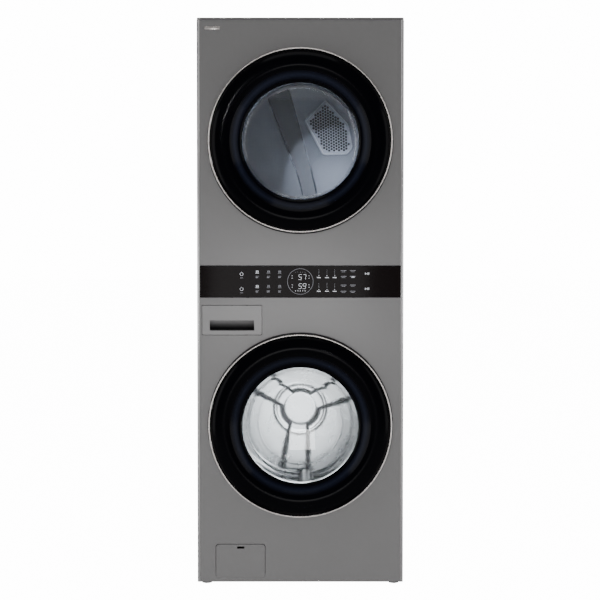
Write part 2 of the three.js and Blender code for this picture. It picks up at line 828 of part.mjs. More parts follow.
// The washer's lock, behind the front panel, with a pocket for the hook.
function doorLock() {
  const x = [hookX - hookWidth / 2 - hookRoom, hookX + hookWidth / 2 + hookRoom];
  const z = widened([-hookHeight / 2, hookHeight / 2], hookRoom);
  const y = [frontY + sheet + fit, frontY + hookReach + 14];
  return cut(
    block(widened(x, 7), y, widened(z, 16)),
    block(x, [y[0] - 5, frontY + hookReach + 6], z),
  );
}
piece(washer, "washer_door_lock", doorLock(), blackPlastic);

// ---------------------------------------------------------------- dryer bulkheads
// From here on, heights in the dryer group count from the drum's axis.

const toDryer = (z) => z - dryerAxisZ;
const rearWallY = rearY - 95;
const bulkheadX = [-baseX, baseX];
const bulkheadZ = [toDryer(deckTop) + fit, toDryer(coverBottom) - 4];
const dryerDrum = {
  radius: dryerDrumRadius,
  thickness: 1.5,
  front: frontY + 94,
  back: rearWallY - 3,
};
const roller = {
  radius: 30,
  bore: 5.6,
  axle: 5,
  angle: 30,
  y: [rearWallY - 33, rearWallY - 13],
};
const rollerDistance = dryerDrum.radius + roller.radius + fit;
const rollerX = rollerDistance * Math.sin(THREE.MathUtils.degToRad(roller.angle));
const rollerZ = -rollerDistance * Math.cos(THREE.MathUtils.degToRad(roller.angle));
const motor = {
  x: 170,
  z: toDryer(controlTop + 87),
  radius: 48,
  y: [frontY + 188, frontY + 304],
};
const duct = { x: exhaust.x, z: toDryer(exhaust.z) };

const bulkheadSheet = 1.5;
const aroundWall = (y, by) => widened([y, y], by);
function rearBulkhead() {
  const panRadius = dryerDrum.radius - 13;
  const pan = [[0, rearWallY - 12], [panRadius - 11, rearWallY - 12], [panRadius, rearWallY]];
  const plate = cut(
    block(bulkheadX, aroundWall(rearWallY, bulkheadSheet / 2), bulkheadZ),
    barY(panRadius - 1, [0, 0], aroundWall(rearWallY, 5), roundSides),
    barY(exhaust.radius + 2, [duct.x, duct.z], aroundWall(rearWallY, 5)),
  );
  const axles = [-1, 1].map((side) =>
    barY(roller.axle, [side * rollerX, rollerZ], [roller.y[0] - 4, rearWallY], 12),
  );
  return join(plate, turned(strip(pan, bulkheadSheet)), ...axles);
}
piece(dryer, "dryer_rear_bulkhead", rearBulkhead(), galvanised);

const throat = { radius: portRadius - 1, wall: 1.5 };
const chuteTop = -throat.radius / 2; // above the throat's lower wall, which trims the chute
const frontWallY = frontY + 75;
const filter = {
  halfWidth: 98,
  y: [frontY + 37.5, frontY + 57.5],
  bottom: toDryer(controlTop + 57),
  travelRoom: 1,
};
function frontBulkhead() {
  const through = aroundWall(frontWallY, 5);
  const plate = cut(
    block(bulkheadX, aroundWall(frontWallY, bulkheadSheet / 2), bulkheadZ),
    barY(throat.radius, [0, 0], through, roundSides),
    barY(12, [motor.x, motor.z], through),
    barY(exhaust.radius + 2, [duct.x, duct.z], through),
  );
  const tube = (inner, y) =>
    turned([[inner, y[0]], [inner + throat.wall, y[0]], [inner + throat.wall, y[1]], [inner, y[1]]]);
  const slot = block(
    widened([-filter.halfWidth, filter.halfWidth], 2),
    widened(filter.y, filter.travelRoom),
    [-throat.radius - 5, chuteTop],
  );
  return join(
    plate,
    cut(tube(throat.radius, [frontY + sheet + fit, frontWallY]), slot),
    tube(dryerDrum.radius - 18, [frontWallY, frontWallY + 27]),
  );
}
piece(dryer, "dryer_front_bulkhead", frontBulkhead(), galvanised);

// ---------------------------------------------------------------- dryer drum, rollers and belt drive

const drumSides = 40;
const drumLifter = { height: 42, foot: 11, crest: 4 };
function dryerDrumShell() {
  const { radius, thickness, front, back } = dryerDrum;
  const skin = radius - thickness / 2;
  const wallPath = [[radius - 12, front], [skin, front + 5], [skin, back]];
  const wall = turned(strip(wallPath, thickness), drumSides);
  const ridge = prismY(
    shapeOf([
      ...arc(radius - thickness, -drumLifter.foot / 2, drumLifter.foot / 2, 4),
      ...arc(radius - drumLifter.height, drumLifter.crest / 2, -drumLifter.crest / 2, 2),
    ]),
    [front + 24, back - 16],
  );
  return join(wall, ...[35, 155, 275].map((angle) => spun(ridge, angle)));
}
piece(dryer, "dryer_drum", dryerDrumShell(), stainless);

for (const [side, sign] of [["left", -1], ["right", 1]]) {
  const wheel = cut(
    barY(roller.radius, [0, 0], roller.y, 20),
    barY(roller.bore, [0, 0], widened(roller.y, 5), 12),
  );
  const mesh = piece(dryer, `drum_roller_${side}`, wheel, blackRubber);
  mesh.position.set(sign * rollerX, 0, rollerZ);
}

const pulley = { radius: 11, rim: 15, y: [motor.y[1] + 14, motor.y[1] + 34] };
const beltY = widened(pulley.y, -4);
const belt = { thickness: 3, clearance: 0.5 };
const idler = { radius: 25, bore: 6.4, axle: 5.6, x: 60, y: widened(pulley.y, -1) };

// The two straight runs leave the drum and the pulley square to this direction.
const beltSpan = Math.hypot(motor.x, motor.z);
const beltLine = Math.atan2(motor.z, motor.x);
const beltSteps = 48; // flats of the belt round the drum
const flatDip = 1 / Math.cos(Math.PI / beltSteps);
const drumWrap = (dryerDrum.radius + belt.clearance) * flatDip;
const pulleyWrap = pulley.radius + belt.clearance;
const beltSwing = Math.acos((drumWrap - pulleyWrap) / beltSpan);

function beltOutline(offset) {
  const degrees = THREE.MathUtils.radToDeg;
  const [a, b] = [degrees(beltLine + beltSwing), degrees(beltLine - beltSwing)];
  return [
    ...arc(drumWrap + offset, a, b + 360, beltSteps),
    ...arc(pulleyWrap + offset, b, a, 6, [motor.x, motor.z]),
  ];
}
function driveBelt() {
  const shape = shapeOf(beltOutline(belt.thickness));
  shape.holes.push(shapeOf(beltOutline(0)));
  return prismY(shape, beltY);
}
piece(dryer, "drive_belt", driveBelt(), blackRubber);

// The idler runs under the slack side of the belt.
const slack = beltLine - beltSwing;
const slackOffset = drumWrap + belt.thickness + idler.radius + belt.clearance;
const idlerZ = (slackOffset - idler.x * Math.cos(slack)) / Math.sin(slack);
const idlerWheel = cut(
  barY(idler.radius, [0, 0], idler.y, 20),
  barY(idler.bore, [0, 0], widened(idler.y, 5), 12),
);
const idlerMesh = piece(dryer, "idler_pulley", idlerWheel, greyPlastic);
idlerMesh.position.set(idler.x, 0, idlerZ);

const motorShaft = 7;
function motorBody() {
  const floor = toDryer(deckTop) + fit;
  const [y0, y1] = motor.y;
  const can = barY(motor.radius, [motor.x, motor.z], motor.y, 24);
  const base = block([motor.x - 30, motor.x + 30], widened([y0, y1], -6), [floor, motor.z - 30]);
  const armY = [pulley.y[1] + 5, pulley.y[1] + 9];
  const link = block([motor.x + 10, motor.x + 30], [y1 - 10, armY[1]], [floor, floor + 5]);
  const arm = block([idler.x - 14, motor.x + 30], armY, [floor, floor + 26]);
  const post = block([idler.x - 12, idler.x + 12], armY, [floor, idlerZ + 10]);
  const axle = barY(idler.axle, [idler.x, idlerZ], [idler.y[0] - 3, armY[1]], 12);
  const bore = barY(motorShaft + 1.4, [motor.x, motor.z], [y0 - 5, y1 + 5], 12);
  return join(cut(join(can, base), bore), link, arm, post, axle);
}
piece(dryer, "dryer_motor", motorBody(), galvanised);

// ---------------------------------------------------------------- dryer air path

const blower = {
  radius: 80,
  y: [frontY + 5, frontWallY - 6],
  wall: 2.5,
  wheel: 66,
  wheelY: [frontY + 16, frontY + 54],
};
const chute = { x: filter.halfWidth + 2.5, y: widened(filter.y, filter.travelRoom) };
const throatRoom = (radius) => barY(radius, [0, 0], [frontY - 2, frontWallY + 1], roundSides);
function blowerHousing() {
  const cavity = (grow, topExtra) => {
    const y = widened(blower.y, grow - blower.wall);
    const scroll = barY(blower.radius - blower.wall + grow, [motor.x, motor.z], y, 24);
    const outlet = barY(exhaust.radius - 3 + grow, [duct.x, duct.z], y, 20);
    const bridge = block(
      [motor.x, duct.x],
      y,
      [motor.z - 60 - grow, motor.z + 20 + grow],
    );
    const shaft = block(
      widened([-chute.x, chute.x], grow),
      widened(chute.y, grow),
      [filter.bottom - 6 - grow, chuteTop + topExtra],
    );
    const elbow = block(
      [20 - grow, motor.x],
      [blower.y[0] + blower.wall - grow, chute.y[1] + grow],
      [filter.bottom - 6 - grow, motor.z + 20 + grow],
    );
    return join(scroll, outlet, bridge, shaft, elbow);
  };
  const under = throatRoom(throat.radius + throat.wall + fit);
  const back = aroundWall(blower.y[1], 10);
  return cut(
    cavity(blower.wall, 0),
    cavity(0, 20),
    under,
    barY(motorShaft + 2, [motor.x, motor.z], back, 12),
    barY(exhaust.radius - 5, [duct.x, duct.z], back, 20),
  );
}
piece(dryer, "blower_housing", blowerHousing(), greyPlastic);

// The motor's shaft, with the blower's wheel at the front and the belt pulley at the back.
function blowerWheel() {
  const [y0, y1] = blower.wheelY;
  const hubBar = barY(16, [0, 0], [y0, y1], 12);
  const disc = barY(blower.wheel, [0, 0], [y1 - 3, y1], 24);
  const blade = block([40, blower.wheel - 1], [y0, y1 - 1], [-1, 1]);
  const bladeCount = 10;
  const blades = Array.from({ length: bladeCount }, (_, i) => spun(blade, (360 * i) / bladeCount));
  const groove = turned(
    [
      [0, pulley.y[0]],
      [pulley.rim, pulley.y[0]],
      [pulley.rim, pulley.y[0] + 2],
      [pulley.radius, pulley.y[0] + 3],
      [pulley.radius, pulley.y[1] - 3],
      [pulley.rim, pulley.y[1] - 2],
      [pulley.rim, pulley.y[1]],
      [0, pulley.y[1]],
    ],
    smallSides,
  );
  const shaft = barY(motorShaft, [0, 0], [y0, pulley.y[1]], 12);
  return join(hubBar, disc, ...blades, groove, shaft);
}
const wheel = piece(dryer, "blower_wheel", blowerWheel(), greyPlastic);
wheel.position.set(motor.x, 0, motor.z);

const ductOutline = [
  [exhaust.radius - exhaust.wall, blower.y[1] + 1],
  [exhaust.radius, blower.y[1] + 1],
  [exhaust.radius, rearY + exhaustProud],
  [exhaust.radius - exhaust.wall, rearY + exhaustProud],
];
const ductMesh = piece(dryer, "exhaust_duct", turned(ductOutline, 24), galvanised);
ductMesh.position.set(duct.x, 0, duct.z);

// Heated air rises in this box and enters the drum through the rear bulkhead's grille.
const heater = {
  x: [10, 250],
  y: [rearWallY + bulkheadSheet / 2 + fit, rearWallY + 80],
  z: [-280, 235],
  wall: 1.5,
};
const heaterBox = cut(
  block(heater.x, heater.y, heater.z),
  block(
    widened(heater.x, -heater.wall),
    [heater.y[0] - 5, heater.y[1] - heater.wall],
    widened(heater.z, -heater.wall),
  ),
);
piece(dryer, "heater_housing", heaterBox, galvanised);

// The lint filter drops through the throat into the blower's chute. Its screen is a thin web.
function lintFilter() {
  const { halfWidth: half, y, bottom } = filter;
  const web = middle(y);
  const window = (range) => block([-half + 10, half - 10], range, [bottom + 10, -throat.radius - 14]);
  const body = cut(
    block([-half, half], y, [bottom, chuteTop]),
    throatRoom(throat.radius + fit),
    window([y[0] - 5, web - 1]),
    window([web + 1, y[1] + 5]),
  );
  const tab = block([-32, 32], widened([web, web], 4), [-throat.radius - 6, -throat.radius + 18]);
  return join(body, tab);
}
piece(dryer, "lint_filter", lintFilter(), greyPlastic);

export default stack;
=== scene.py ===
# The washer and dryer stack as it looks when it is finished, built over its own CAD frame, in metres.
# Each section below makes one piece, or a group of like pieces, from sheet, moulding or glass to finish.

import math

import bmesh
import bpy
from mathutils import Matrix, Vector


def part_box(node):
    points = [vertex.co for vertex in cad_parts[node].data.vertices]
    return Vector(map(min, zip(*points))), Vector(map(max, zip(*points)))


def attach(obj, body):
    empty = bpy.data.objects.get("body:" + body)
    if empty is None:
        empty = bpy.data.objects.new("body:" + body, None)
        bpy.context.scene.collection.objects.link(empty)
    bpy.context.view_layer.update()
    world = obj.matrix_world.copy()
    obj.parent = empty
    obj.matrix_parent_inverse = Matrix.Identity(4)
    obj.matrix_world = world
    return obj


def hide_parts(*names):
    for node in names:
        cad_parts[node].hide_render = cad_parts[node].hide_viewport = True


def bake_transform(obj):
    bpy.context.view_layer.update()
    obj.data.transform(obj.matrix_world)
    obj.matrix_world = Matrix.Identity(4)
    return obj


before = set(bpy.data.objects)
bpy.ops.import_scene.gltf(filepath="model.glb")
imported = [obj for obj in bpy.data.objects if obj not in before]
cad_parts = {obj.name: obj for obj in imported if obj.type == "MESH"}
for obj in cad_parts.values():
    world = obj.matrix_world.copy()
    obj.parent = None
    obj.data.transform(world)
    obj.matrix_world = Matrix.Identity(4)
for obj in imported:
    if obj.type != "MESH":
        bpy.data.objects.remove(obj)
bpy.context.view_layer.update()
mm = 0.001

# ---------------------------------------------------------------- studio
# A pale floor, a camera at chest height that looks slightly down at the doors, and large soft lamps. The
# upright banks at the sides draw the long highlights on the rounded edges of the cabinet, and two narrow
# beams light what is behind the windows.

fascia_low, fascia_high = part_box("control_fascia")
front_y = fascia_low.y

camera_data = bpy.data.cameras.new("studio_camera")
camera_data.lens = 90.35
camera_data.sensor_width = 36
camera = bpy.data.objects.new("studio_camera", camera_data)
camera.location = (-0.001, front_y - 5.0, 1.11)
camera.rotation_euler = (math.radians(90 - 1.78), 0, 0)
bpy.context.scene.collection.objects.link(camera)
bpy.context.scene.camera = camera


class Wire:
    """One output of a shader node, so that sums and products of it can be written out."""

    def __init__(self, finish, socket):
        self.finish = finish
        self.socket = socket

    def math(self, operation, first, second):
        return self.finish.node("ShaderNodeMath", {"operation": operation}, {0: first, 1: second})

    def __add__(self, other):
        return self.math("ADD", self, other)

    def __radd__(self, other):
        return self.math("ADD", other, self)

    def __sub__(self, other):
        return self.math("SUBTRACT", self, other)

    def __rsub__(self, other):
        return self.math("SUBTRACT", other, self)

    def __mul__(self, other):
        return self.math("MULTIPLY", self, other)

    def __rmul__(self, other):
        return self.math("MULTIPLY", other, self)

    def __truediv__(self, other):
        return self.math("DIVIDE", self, other)

    def __pow__(self, other):
        return self.math("POWER", self, other)


class Nodes:
    """A node tree whose nodes all come from one method."""

    def __init__(self, tree):
        self.tree = tree

    def node(self, kind, settings=None, inputs=None, out=0):
        made = self.tree.nodes.new(kind)
        for key, value in (settings or {}).items():
            if key == "stops":
                self.fill_ramp(made.color_ramp.elements, value)
            else:
                setattr(made, key, value)
        for key, value in (inputs or {}).items():
            self.feed(self.socket(made.inputs, key), value)
        return Wire(self, self.socket(made.outputs, out))

    @staticmethod
    def socket(sockets, key):
        if isinstance(key, int):
            return sockets[key]
        return next(s for s in sockets if key in (s.identifier, s.name))

    @staticmethod
    def fill_ramp(elements, stops):
        elements[0].position, elements[0].color = stops[0]
        elements[1].position, elements[1].color = stops[-1]
        for at, color in stops[1:-1]:
            elements.new(at).color = color

    def feed(self, socket, value):
        if isinstance(value, Wire):
            self.tree.links.new(value.socket, socket)
        elif isinstance(value, tuple) and len(value) == 3 and socket.type == "RGBA":
            socket.default_value = (*value, 1)
        else:
            socket.default_value = value


class Finish(Nodes):
    """A surface finish: one shader, and the nodes that vary it over the surface."""

    def __init__(self, name, **constants):
        self.material = bpy.data.materials.new(name)
        self.material.use_nodes = True
        super().__init__(self.material.node_tree)
        self.shader = self.tree.nodes["Principled BSDF"]
        self.place = self.node("ShaderNodeTexCoord", out="Object")
        self.set(**constants)

    def set(self, **sockets):
        for key, value in sockets.items():
            self.feed(self.shader.inputs[key.replace("_", " ")], value)
        return self

    def noise(self, scale, detail=3.0, stretch=(1, 1, 1)):
        at = self.node("ShaderNodeMapping", inputs={"Vector": self.place, "Scale": stretch})
        return self.node("ShaderNodeTexNoise", inputs={"Vector": at, "Scale": scale, "Detail": detail})

    def blend(self, factor, first, second):
        return self.node(
            "ShaderNodeMix",
            {"data_type": "RGBA"},
            {"Factor_Float": factor, "A_Color": first, "B_Color": second},
            out="Result_Color",
        )

    def bump(self, height, distance, strength=1.0):
        inputs = {"Height": height, "Distance": distance, "Strength": strength}
        return self.set(Normal=self.node("ShaderNodeBump", inputs=inputs))


studio_air = bpy.data.worlds.new("studio_air")
studio_air.use_nodes = True
bpy.context.scene.world = studio_air
air = Nodes(studio_air.node_tree)
backdrop = 15.0
room_light = 0.25
seen_directly = air.node("ShaderNodeLightPath", out="Is Camera Ray")
air.feed(air.tree.nodes["Background"].inputs["Color"], (1.0, 1.0, 1.0))
air.feed(
    air.tree.nodes["Background"].inputs["Strength"],
    seen_directly * (backdrop - room_light) + room_light,
)


def hang(data, place, aim):
    """Puts a lamp at a place, turned to an aim."""
    made = bpy.data.objects.new(data.name, data)
    made.location = place
    made.rotation_euler = (Vector(aim) - Vector(place)).to_track_quat("-Z", "Y").to_euler()
    bpy.context.scene.collection.objects.link(made)


def lamp(name, size, place, aim, radiance):
    """A soft rectangular lamp, as bright as a surface of that radiance."""
    data = bpy.data.lights.new(name, "AREA")
    data.shape = "RECTANGLE"
    data.size, data.size_y = size
    data.energy = radiance * math.pi * size[0] * size[1]
    hang(data, place, aim)


def beam(name, place, aim, width, power, softness):
    """A soft narrow lamp that lights what is behind a window."""
    data = bpy.data.lights.new(name, "SPOT")
    data.spot_size = math.radians(width)
    data.spot_blend = 0.6
    data.shadow_soft_size = softness
    data.energy = power
    hang(data, place, aim)


lamp("left_bank", (2.4, 3.2), (-3.2, -1.1, 1.2), (-0.34, -0.3, 1.1), 3.0)
lamp("right_bank", (2.4, 3.2), (3.2, -1.1, 1.2), (0.34, -0.3, 1.1), 2.5)
lamp("overhead", (2.2, 1.6), (0, -1.2, 4.2), (0, -0.2, 0.9), 2.2)
lamp("front_panel_light", (1.4, 1.1), (-0.1, -8.6, 0.62), (0, 0, 0.95), 7.5)
beam("dryer_window_beam", (-1.1, -4.9, 2.3), (0.12, 0.25, 1.40), 3.6, 2100, 0.12)
beam("washer_window_beam", (0.5, -5.1, 1.3), (-0.03, 0.1, 0.47), 4.4, 440, 0.1)

floor_bm = bmesh.new()
bmesh.ops.create_circle(floor_bm, cap_ends=True, segments=96, radius=60)
floor_mesh = bpy.data.meshes.new("studio_floor")
floor_bm.to_mesh(floor_mesh)
floor_bm.free()
studio_floor = bpy.data.objects.new("studio_floor", floor_mesh)
bpy.context.scene.collection.objects.link(studio_floor)
floor_paint = Finish("studio_floor", Base_Color=(0.82, 0.82, 0.82), Roughness=0.8)
floor_seen = floor_paint.node("ShaderNodeLightPath", out="Is Camera Ray")
floor_step = 0.6
floor_share = 0.6
floor_glow = floor_seen * (backdrop - floor_step - room_light * floor_share) + room_light * floor_share
floor_paint.set(Emission_Color=(1.0, 1.0, 1.0), Emission_Strength=floor_glow)
floor_mesh.materials.append(floor_paint.material)

# ---------------------------------------------------------------- side and rear panels
# The cabinet's wrap: one pressed sheet for both sides and the rear wall, stove enamelled in graphite with a
# fine metallic grain, with round rear corners and rolled openings for the service panel and the ports.

enamel = Finish("graphite_enamel", Metallic=0.62, Coat_Weight=0.22, Coat_Roughness=0.16)
enamel_grain = enamel.noise(1900, 1.0, (1, 1, 0.2))
enamel_cloud = enamel.noise(2.4, 2.0)
enamel_tone = enamel.blend(enamel_grain, (0.225, 0.221, 0.223), (0.272, 0.266, 0.268))
enamel.set(Base_Color=enamel.blend(enamel_cloud * 0.3, enamel_tone, (0.25, 0.245, 0.248)))
enamel.set(Roughness=0.33 + enamel_cloud * 0.06 + enamel_grain * 0.05)
enamel.bump(enamel.noise(700, 2.0, (1, 1, 0.25)), 0.00003, 0.3)


def finished(name, bm, body, finish, slot, *nodes, smooth=32):
    """The bmesh as a piece that rides on a body, in place of the CAD nodes that are named."""
    mesh = bpy.data.meshes.new(name)
    bm.to_mesh(mesh)
    bm.free()
    mesh.materials.append(finish.material)
    mesh.shade_smooth()
    mesh.set_sharp_from_angle(angle=math.radians(smooth))
    piece = bpy.data.objects.new(name, mesh)
    bpy.context.scene.collection.objects.link(piece)
    if body:
        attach(piece, body)
    if nodes:
        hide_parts(*nodes)
    return piece


def coat(finish, *nodes):
    """A better finish on CAD nodes that keep their shape."""
    for node in nodes:
        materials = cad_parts[node].data.materials
        materials.clear()
        materials.append(finish.material)


def rounded_off(bm, geom, offset, segments, affect="EDGES"):
    """Rounds off edges or corners of a bmesh."""
    bmesh.ops.bevel(
        bm, geom=geom, offset=offset, segments=segments, profile=0.5, affect=affect, material=-1
    )


def outline_of(bm, corners, radius=0.0, steps=6):
    """A closed wire through corners, each rounded by radius."""
    verts = [bm.verts.new(corner) for corner in corners]
    edges = [bm.edges.new(pair) for pair in zip(verts, verts[1:] + verts[:1])]
    if not radius:
        return edges
    before = set(bm.edges) - set(edges)
    rounded_off(bm, verts, radius, steps, "VERTICES")
    return [e for e in bm.edges if e not in before]


def oblong(x, y, z, radius=0.0, steps=6):
    """An upright rectangle with round corners, as outline_of takes it."""
    return [(x[0], y, z[0]), (x[1], y, z[0]), (x[1], y, z[1]), (x[0], y, z[1])], radius, steps


def disc(x, y, z, radius, segments=128):
    """An upright circle, as outline_of takes it."""
    turn = [2 * math.pi * i / segments for i in range(segments)]
    return [(x + radius * math.cos(a), y, z + radius * math.sin(a)) for a in turn], 0.0, 1


def pierced(outlines):
    """A flat sheet: the first outline, with the others cut out of it."""
    bm = bmesh.new()
    for corners, radius, steps in outlines:
        outline_of(bm, corners, radius, steps)
    bmesh.ops.triangle_fill(bm, use_beauty=True, edges=bm.edges[:])
    return bm


def turn_outward(bm, direction=Vector((0, -1, 0))):
    """Turns an open sheet over if most of it faces away from a direction, which is forward unless told."""
    bmesh.ops.recalc_face_normals(bm, faces=bm.faces[:])
    facing = sum(f.normal.dot(direction) * f.calc_area() for f in bm.faces)
    if facing < 0:
        bmesh.ops.reverse_faces(bm, faces=bm.faces[:])
    return bm


def extruded_edges(bm, edges, move):
    """Draws edges out along a vector, and returns the new ones."""
    grown = bmesh.ops.extrude_edge_only(bm, edges=edges)["geom"]
    moved = [g for g in grown if isinstance(g, bmesh.types.BMVert)]
    bmesh.ops.translate(bm, verts=moved, vec=move)
    return [g for g in grown if isinstance(g, bmesh.types.BMEdge)]


def wrapped_sheet(half_width, y, z, corner, back, openings=(), lip=0.0):
    """A sheet that faces forward or back at y, and turns round both upright corners as far as back.
    The rims of its openings are rolled inwards by lip."""
    way = 1 if back > y else -1
    flat = half_width - corner
    bm = pierced([oblong((-flat, flat), y, z), *openings])

    def inside(edge):
        return all(abs(v.co.x) < flat - 1e-5 and z[0] + 1e-5 < v.co.z < z[1] - 1e-5 for v in edge.verts)

    rims = [e for e in bm.edges if e.is_boundary and inside(e)]
    if lip and rims:
        extruded_edges(bm, rims, (0, way * lip, 0))
    for side in (-1, 1):
        edge = [e for e in bm.edges if all(abs(v.co.x - side * flat) < 1e-6 for v in e.verts)]
        swept = bmesh.ops.spin(
            bm,
            geom=edge + list({v for e in edge for v in e.verts}),
            cent=(side * flat, y + way * corner, 0),
            axis=(0, 0, 1),
            angle=side * way * math.pi / 2,
            steps=8,
        )["geom_last"]
        last = [g for g in swept if isinstance(g, bmesh.types.BMEdge)]
        extruded_edges(bm, last, (0, back - y - way * corner, 0))
    bmesh.ops.remove_doubles(bm, verts=bm.verts[:], dist=1e-6)
    return turn_outward(bm, Vector((0, -way, 0)))


def soften(piece, edge, segments=2, angle=40):
    """Breaks the sharp edges of a piece, and keeps its flat faces flat."""
    bevel = piece.modifiers.new("edges", "BEVEL")
    bevel.width = edge
    bevel.segments = segments
    bevel.limit_method = "ANGLE"
    bevel.angle_limit = math.radians(angle)
    flat = piece.modifiers.new("flat_faces", "WEIGHTED_NORMAL")
    flat.keep_sharp = True
    return piece


def thicken(piece, thickness, edge=0.0, segments=2):
    """Gives a sheet its thickness behind its face, and breaks its sharp edges."""
    wall = piece.modifiers.new("wall", "SOLIDIFY")
    wall.thickness = thickness
    wall.offset = -1
    if edge:
        soften(piece, edge, segments)
    return piece


panel_steel = 1.3 * mm
wrap_low, wrap_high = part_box("cabinet_wrap")
access_low, access_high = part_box("rear_access_panel")
duct_low, duct_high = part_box("exhaust_duct")
inlet_low, inlet_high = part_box("inlet_valves")
half_width = wrap_high.x
rear_y = wrap_high.y
duct_x = (duct_low.x + duct_high.x) / 2
duct_z = (duct_low.z + duct_high.z) / 2
duct_radius = (duct_high.z - duct_low.z) / 2
inlet_z = (inlet_low.z + inlet_high.z) / 2
inlet_ports = [inlet_low.x + 20 * mm, inlet_high.x - 20 * mm]
service_rim = 18 * mm
rear_openings = [
    oblong(
        (access_low.x + service_rim, access_high.x - service_rim),
        rear_y,
        (access_low.z + service_rim, access_high.z - service_rim),
        6 * mm,
    ),
    disc(duct_x, rear_y, duct_z, duct_radius + 2 * mm, 64),
    *[disc(x, rear_y, inlet_z, 15 * mm, 32) for x in inlet_ports],
]
wrap_sheet = wrapped_sheet(
    half_width, rear_y, (wrap_low.z, wrap_high.z), 6 * mm, wrap_low.y, rear_openings, 2 * mm
)
thicken(
    finished("side_and_rear_panels", wrap_sheet, "cabinet", enamel, "graphite_steel", "cabinet_wrap"),
    panel_steel,
    0.5 * mm,
)

# ---------------------------------------------------------------- top panel
# One pressed sheet with round front corners and a turned-down rim. It drops over the cabinet's top edge.

cover_low, cover_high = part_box("top_cover")
cover_bm = bmesh.new()
cover_corners = [
    (cover_low.x, cover_low.y, cover_high.z),
    (cover_high.x, cover_low.y, cover_high.z),
    (cover_high.x, cover_high.y, cover_high.z),
    (cover_low.x, cover_high.y, cover_high.z),
]
bmesh.ops.contextual_create(cover_bm, geom=outline_of(cover_bm, cover_corners, 9 * mm, 8))
turn_outward(cover_bm, Vector((0, 0, 1)))
cover_rim = [e for e in cover_bm.edges if e.is_boundary]
extruded_edges(cover_bm, cover_rim, (0, 0, cover_low.z - cover_high.z))
bmesh.ops.recalc_face_normals(cover_bm, faces=cover_bm.faces[:])
crown = [e for e in cover_bm.edges if all(abs(v.co.z - cover_high.z) < 1e-6 for v in e.verts)]
rounded_off(cover_bm, crown, 2.6 * mm, 5)
turn_outward(cover_bm, Vector((0, 0, 1)))
thicken(
    finished("top_panel", cover_bm, "cabinet", enamel, "graphite_steel", "top_cover"),
    panel_steel,
    0.4 * mm,
)

# ---------------------------------------------------------------- front panels
# Two pressed fronts with rounded upright edges. Each has a round port with a rolled rim for its door, and a
# slot for the door's hook. The washer's front is also open for the detergent drawer and the service flap.

washer_ring_low, washer_ring_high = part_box("washer_door_ring")
dryer_ring_low, dryer_ring_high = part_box("dryer_door_ring")
washer_z = (washer_ring_low.z + washer_ring_high.z) / 2
dryer_z = (dryer_ring_low.z + dryer_ring_high.z) / 2
door_radius = washer_ring_high.x
port_radius = door_radius - 86 * mm
hook_x = port_radius + 40 * mm
front_corner = 9 * mm
drawer_low, drawer_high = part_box("drawer_front")
flap_low, flap_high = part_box("service_cover")
flap_pin = 4.5 * mm
flap_x = (flap_low.x + flap_pin, flap_high.x - flap_pin)
panel_gap = 1.5 * mm


def port_openings(z):
    """The round port and the slot for the door's hook."""
    hook_slot = oblong((hook_x - 13 * mm, hook_x + 13 * mm), front_y, (z - 18 * mm, z + 18 * mm), 4 * mm)
    return [disc(0, front_y, z, port_radius), hook_slot]


def widened(low, high, by):
    return low - by, high + by


drawer_opening = oblong(
    widened(drawer_low.x, drawer_high.x, panel_gap),
    front_y,
    widened(drawer_low.z, drawer_high.z, panel_gap),
    4 * mm,
)
flap_opening = oblong(
    widened(*flap_x, panel_gap), front_y, widened(flap_low.z + 1.5 * mm, flap_high.z, panel_gap), 10 * mm
)
for panel_name, node, openings in (
    ("washer_front", "washer_front_panel", [*port_openings(washer_z), drawer_opening, flap_opening]),
    ("dryer_front", "dryer_front_panel", port_openings(dryer_z)),
):
    low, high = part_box(node)
    front_bm = wrapped_sheet(
        half_width, front_y, (low.z, high.z), front_corner, front_y + 24 * mm, openings, 5 * mm
    )
    front_panel = finished(panel_name, front_bm, "cabinet", enamel, "graphite_steel", node)
    thicken(front_panel, panel_steel, 0.6 * mm)

# ---------------------------------------------------------------- upright edge trims
# The front edge of each side panel is rolled forward over the fronts and the control panel. Its enamel is
# lighter than the cabinet's: a painted highlight for the narrow bright strip down both sides of the machine.


def grained(name, grain, tones, roughness, relief=None, depth=0.00003, strength=0.25, **constants):
    """A finish whose tone and roughness follow one noise. Its relief is another noise, or else the same."""
    finish = Finish(name, **constants)
    share = finish.noise(*grain)
    finish.set(Base_Color=finish.blend(share, *tones), Roughness=roughness[0] + share * roughness[1])
    if depth:
        finish.bump(finish.noise(*relief) if relief else share, depth, strength)
    return finish


# A lighter enamel for the trims: a painted highlight down the rounded upright edges.
painted_highlight_enamel = grained(
    "painted_highlight_enamel", (1500, 1.0, (1, 1, 0.2)), ((0.52, 0.515, 0.515), (0.60, 0.595, 0.595)), (0.3, 0.1),
    (700, 2.0), Metallic=0.55, Coat_Weight=0.3, Coat_Roughness=0.15,
)
trim_proud = 0.7 * mm
trim_lap = 6 * mm
trim_z = (wrap_low.z, wrap_high.z)


def edge_trim(side):
    """A rolled strip round one upright front edge of the cabinet."""
    bm = bmesh.new()
    centre_x, centre_y = half_width - front_corner, front_y + front_corner
    radius = front_corner + trim_proud
    path = []
    for degrees in range(0, 91, 10):
        turn = math.radians(degrees)
        path.append((side * (centre_x + radius * math.sin(turn)), centre_y - radius * math.cos(turn)))
    path.append((side * (half_width + trim_proud), wrap_low.y + trim_lap))
    rails = [[bm.verts.new((x, y, z)) for x, y in path] for z in trim_z]
    for (p, q), (r, s) in zip(zip(rails[0], rails[0][1:]), zip(rails[1], rails[1][1:])):
        bm.faces.new((p, q, s, r))
    return turn_outward(bm, Vector((side, -1, 0)))


for side_name, side in (("left", -1), ("right", 1)):
    trim = finished(f"{side_name}_edge_trim", edge_trim(side), "cabinet", painted_highlight_enamel, "graphite_steel",
                    smooth=50)
    thicken(trim, 0.55 * mm)

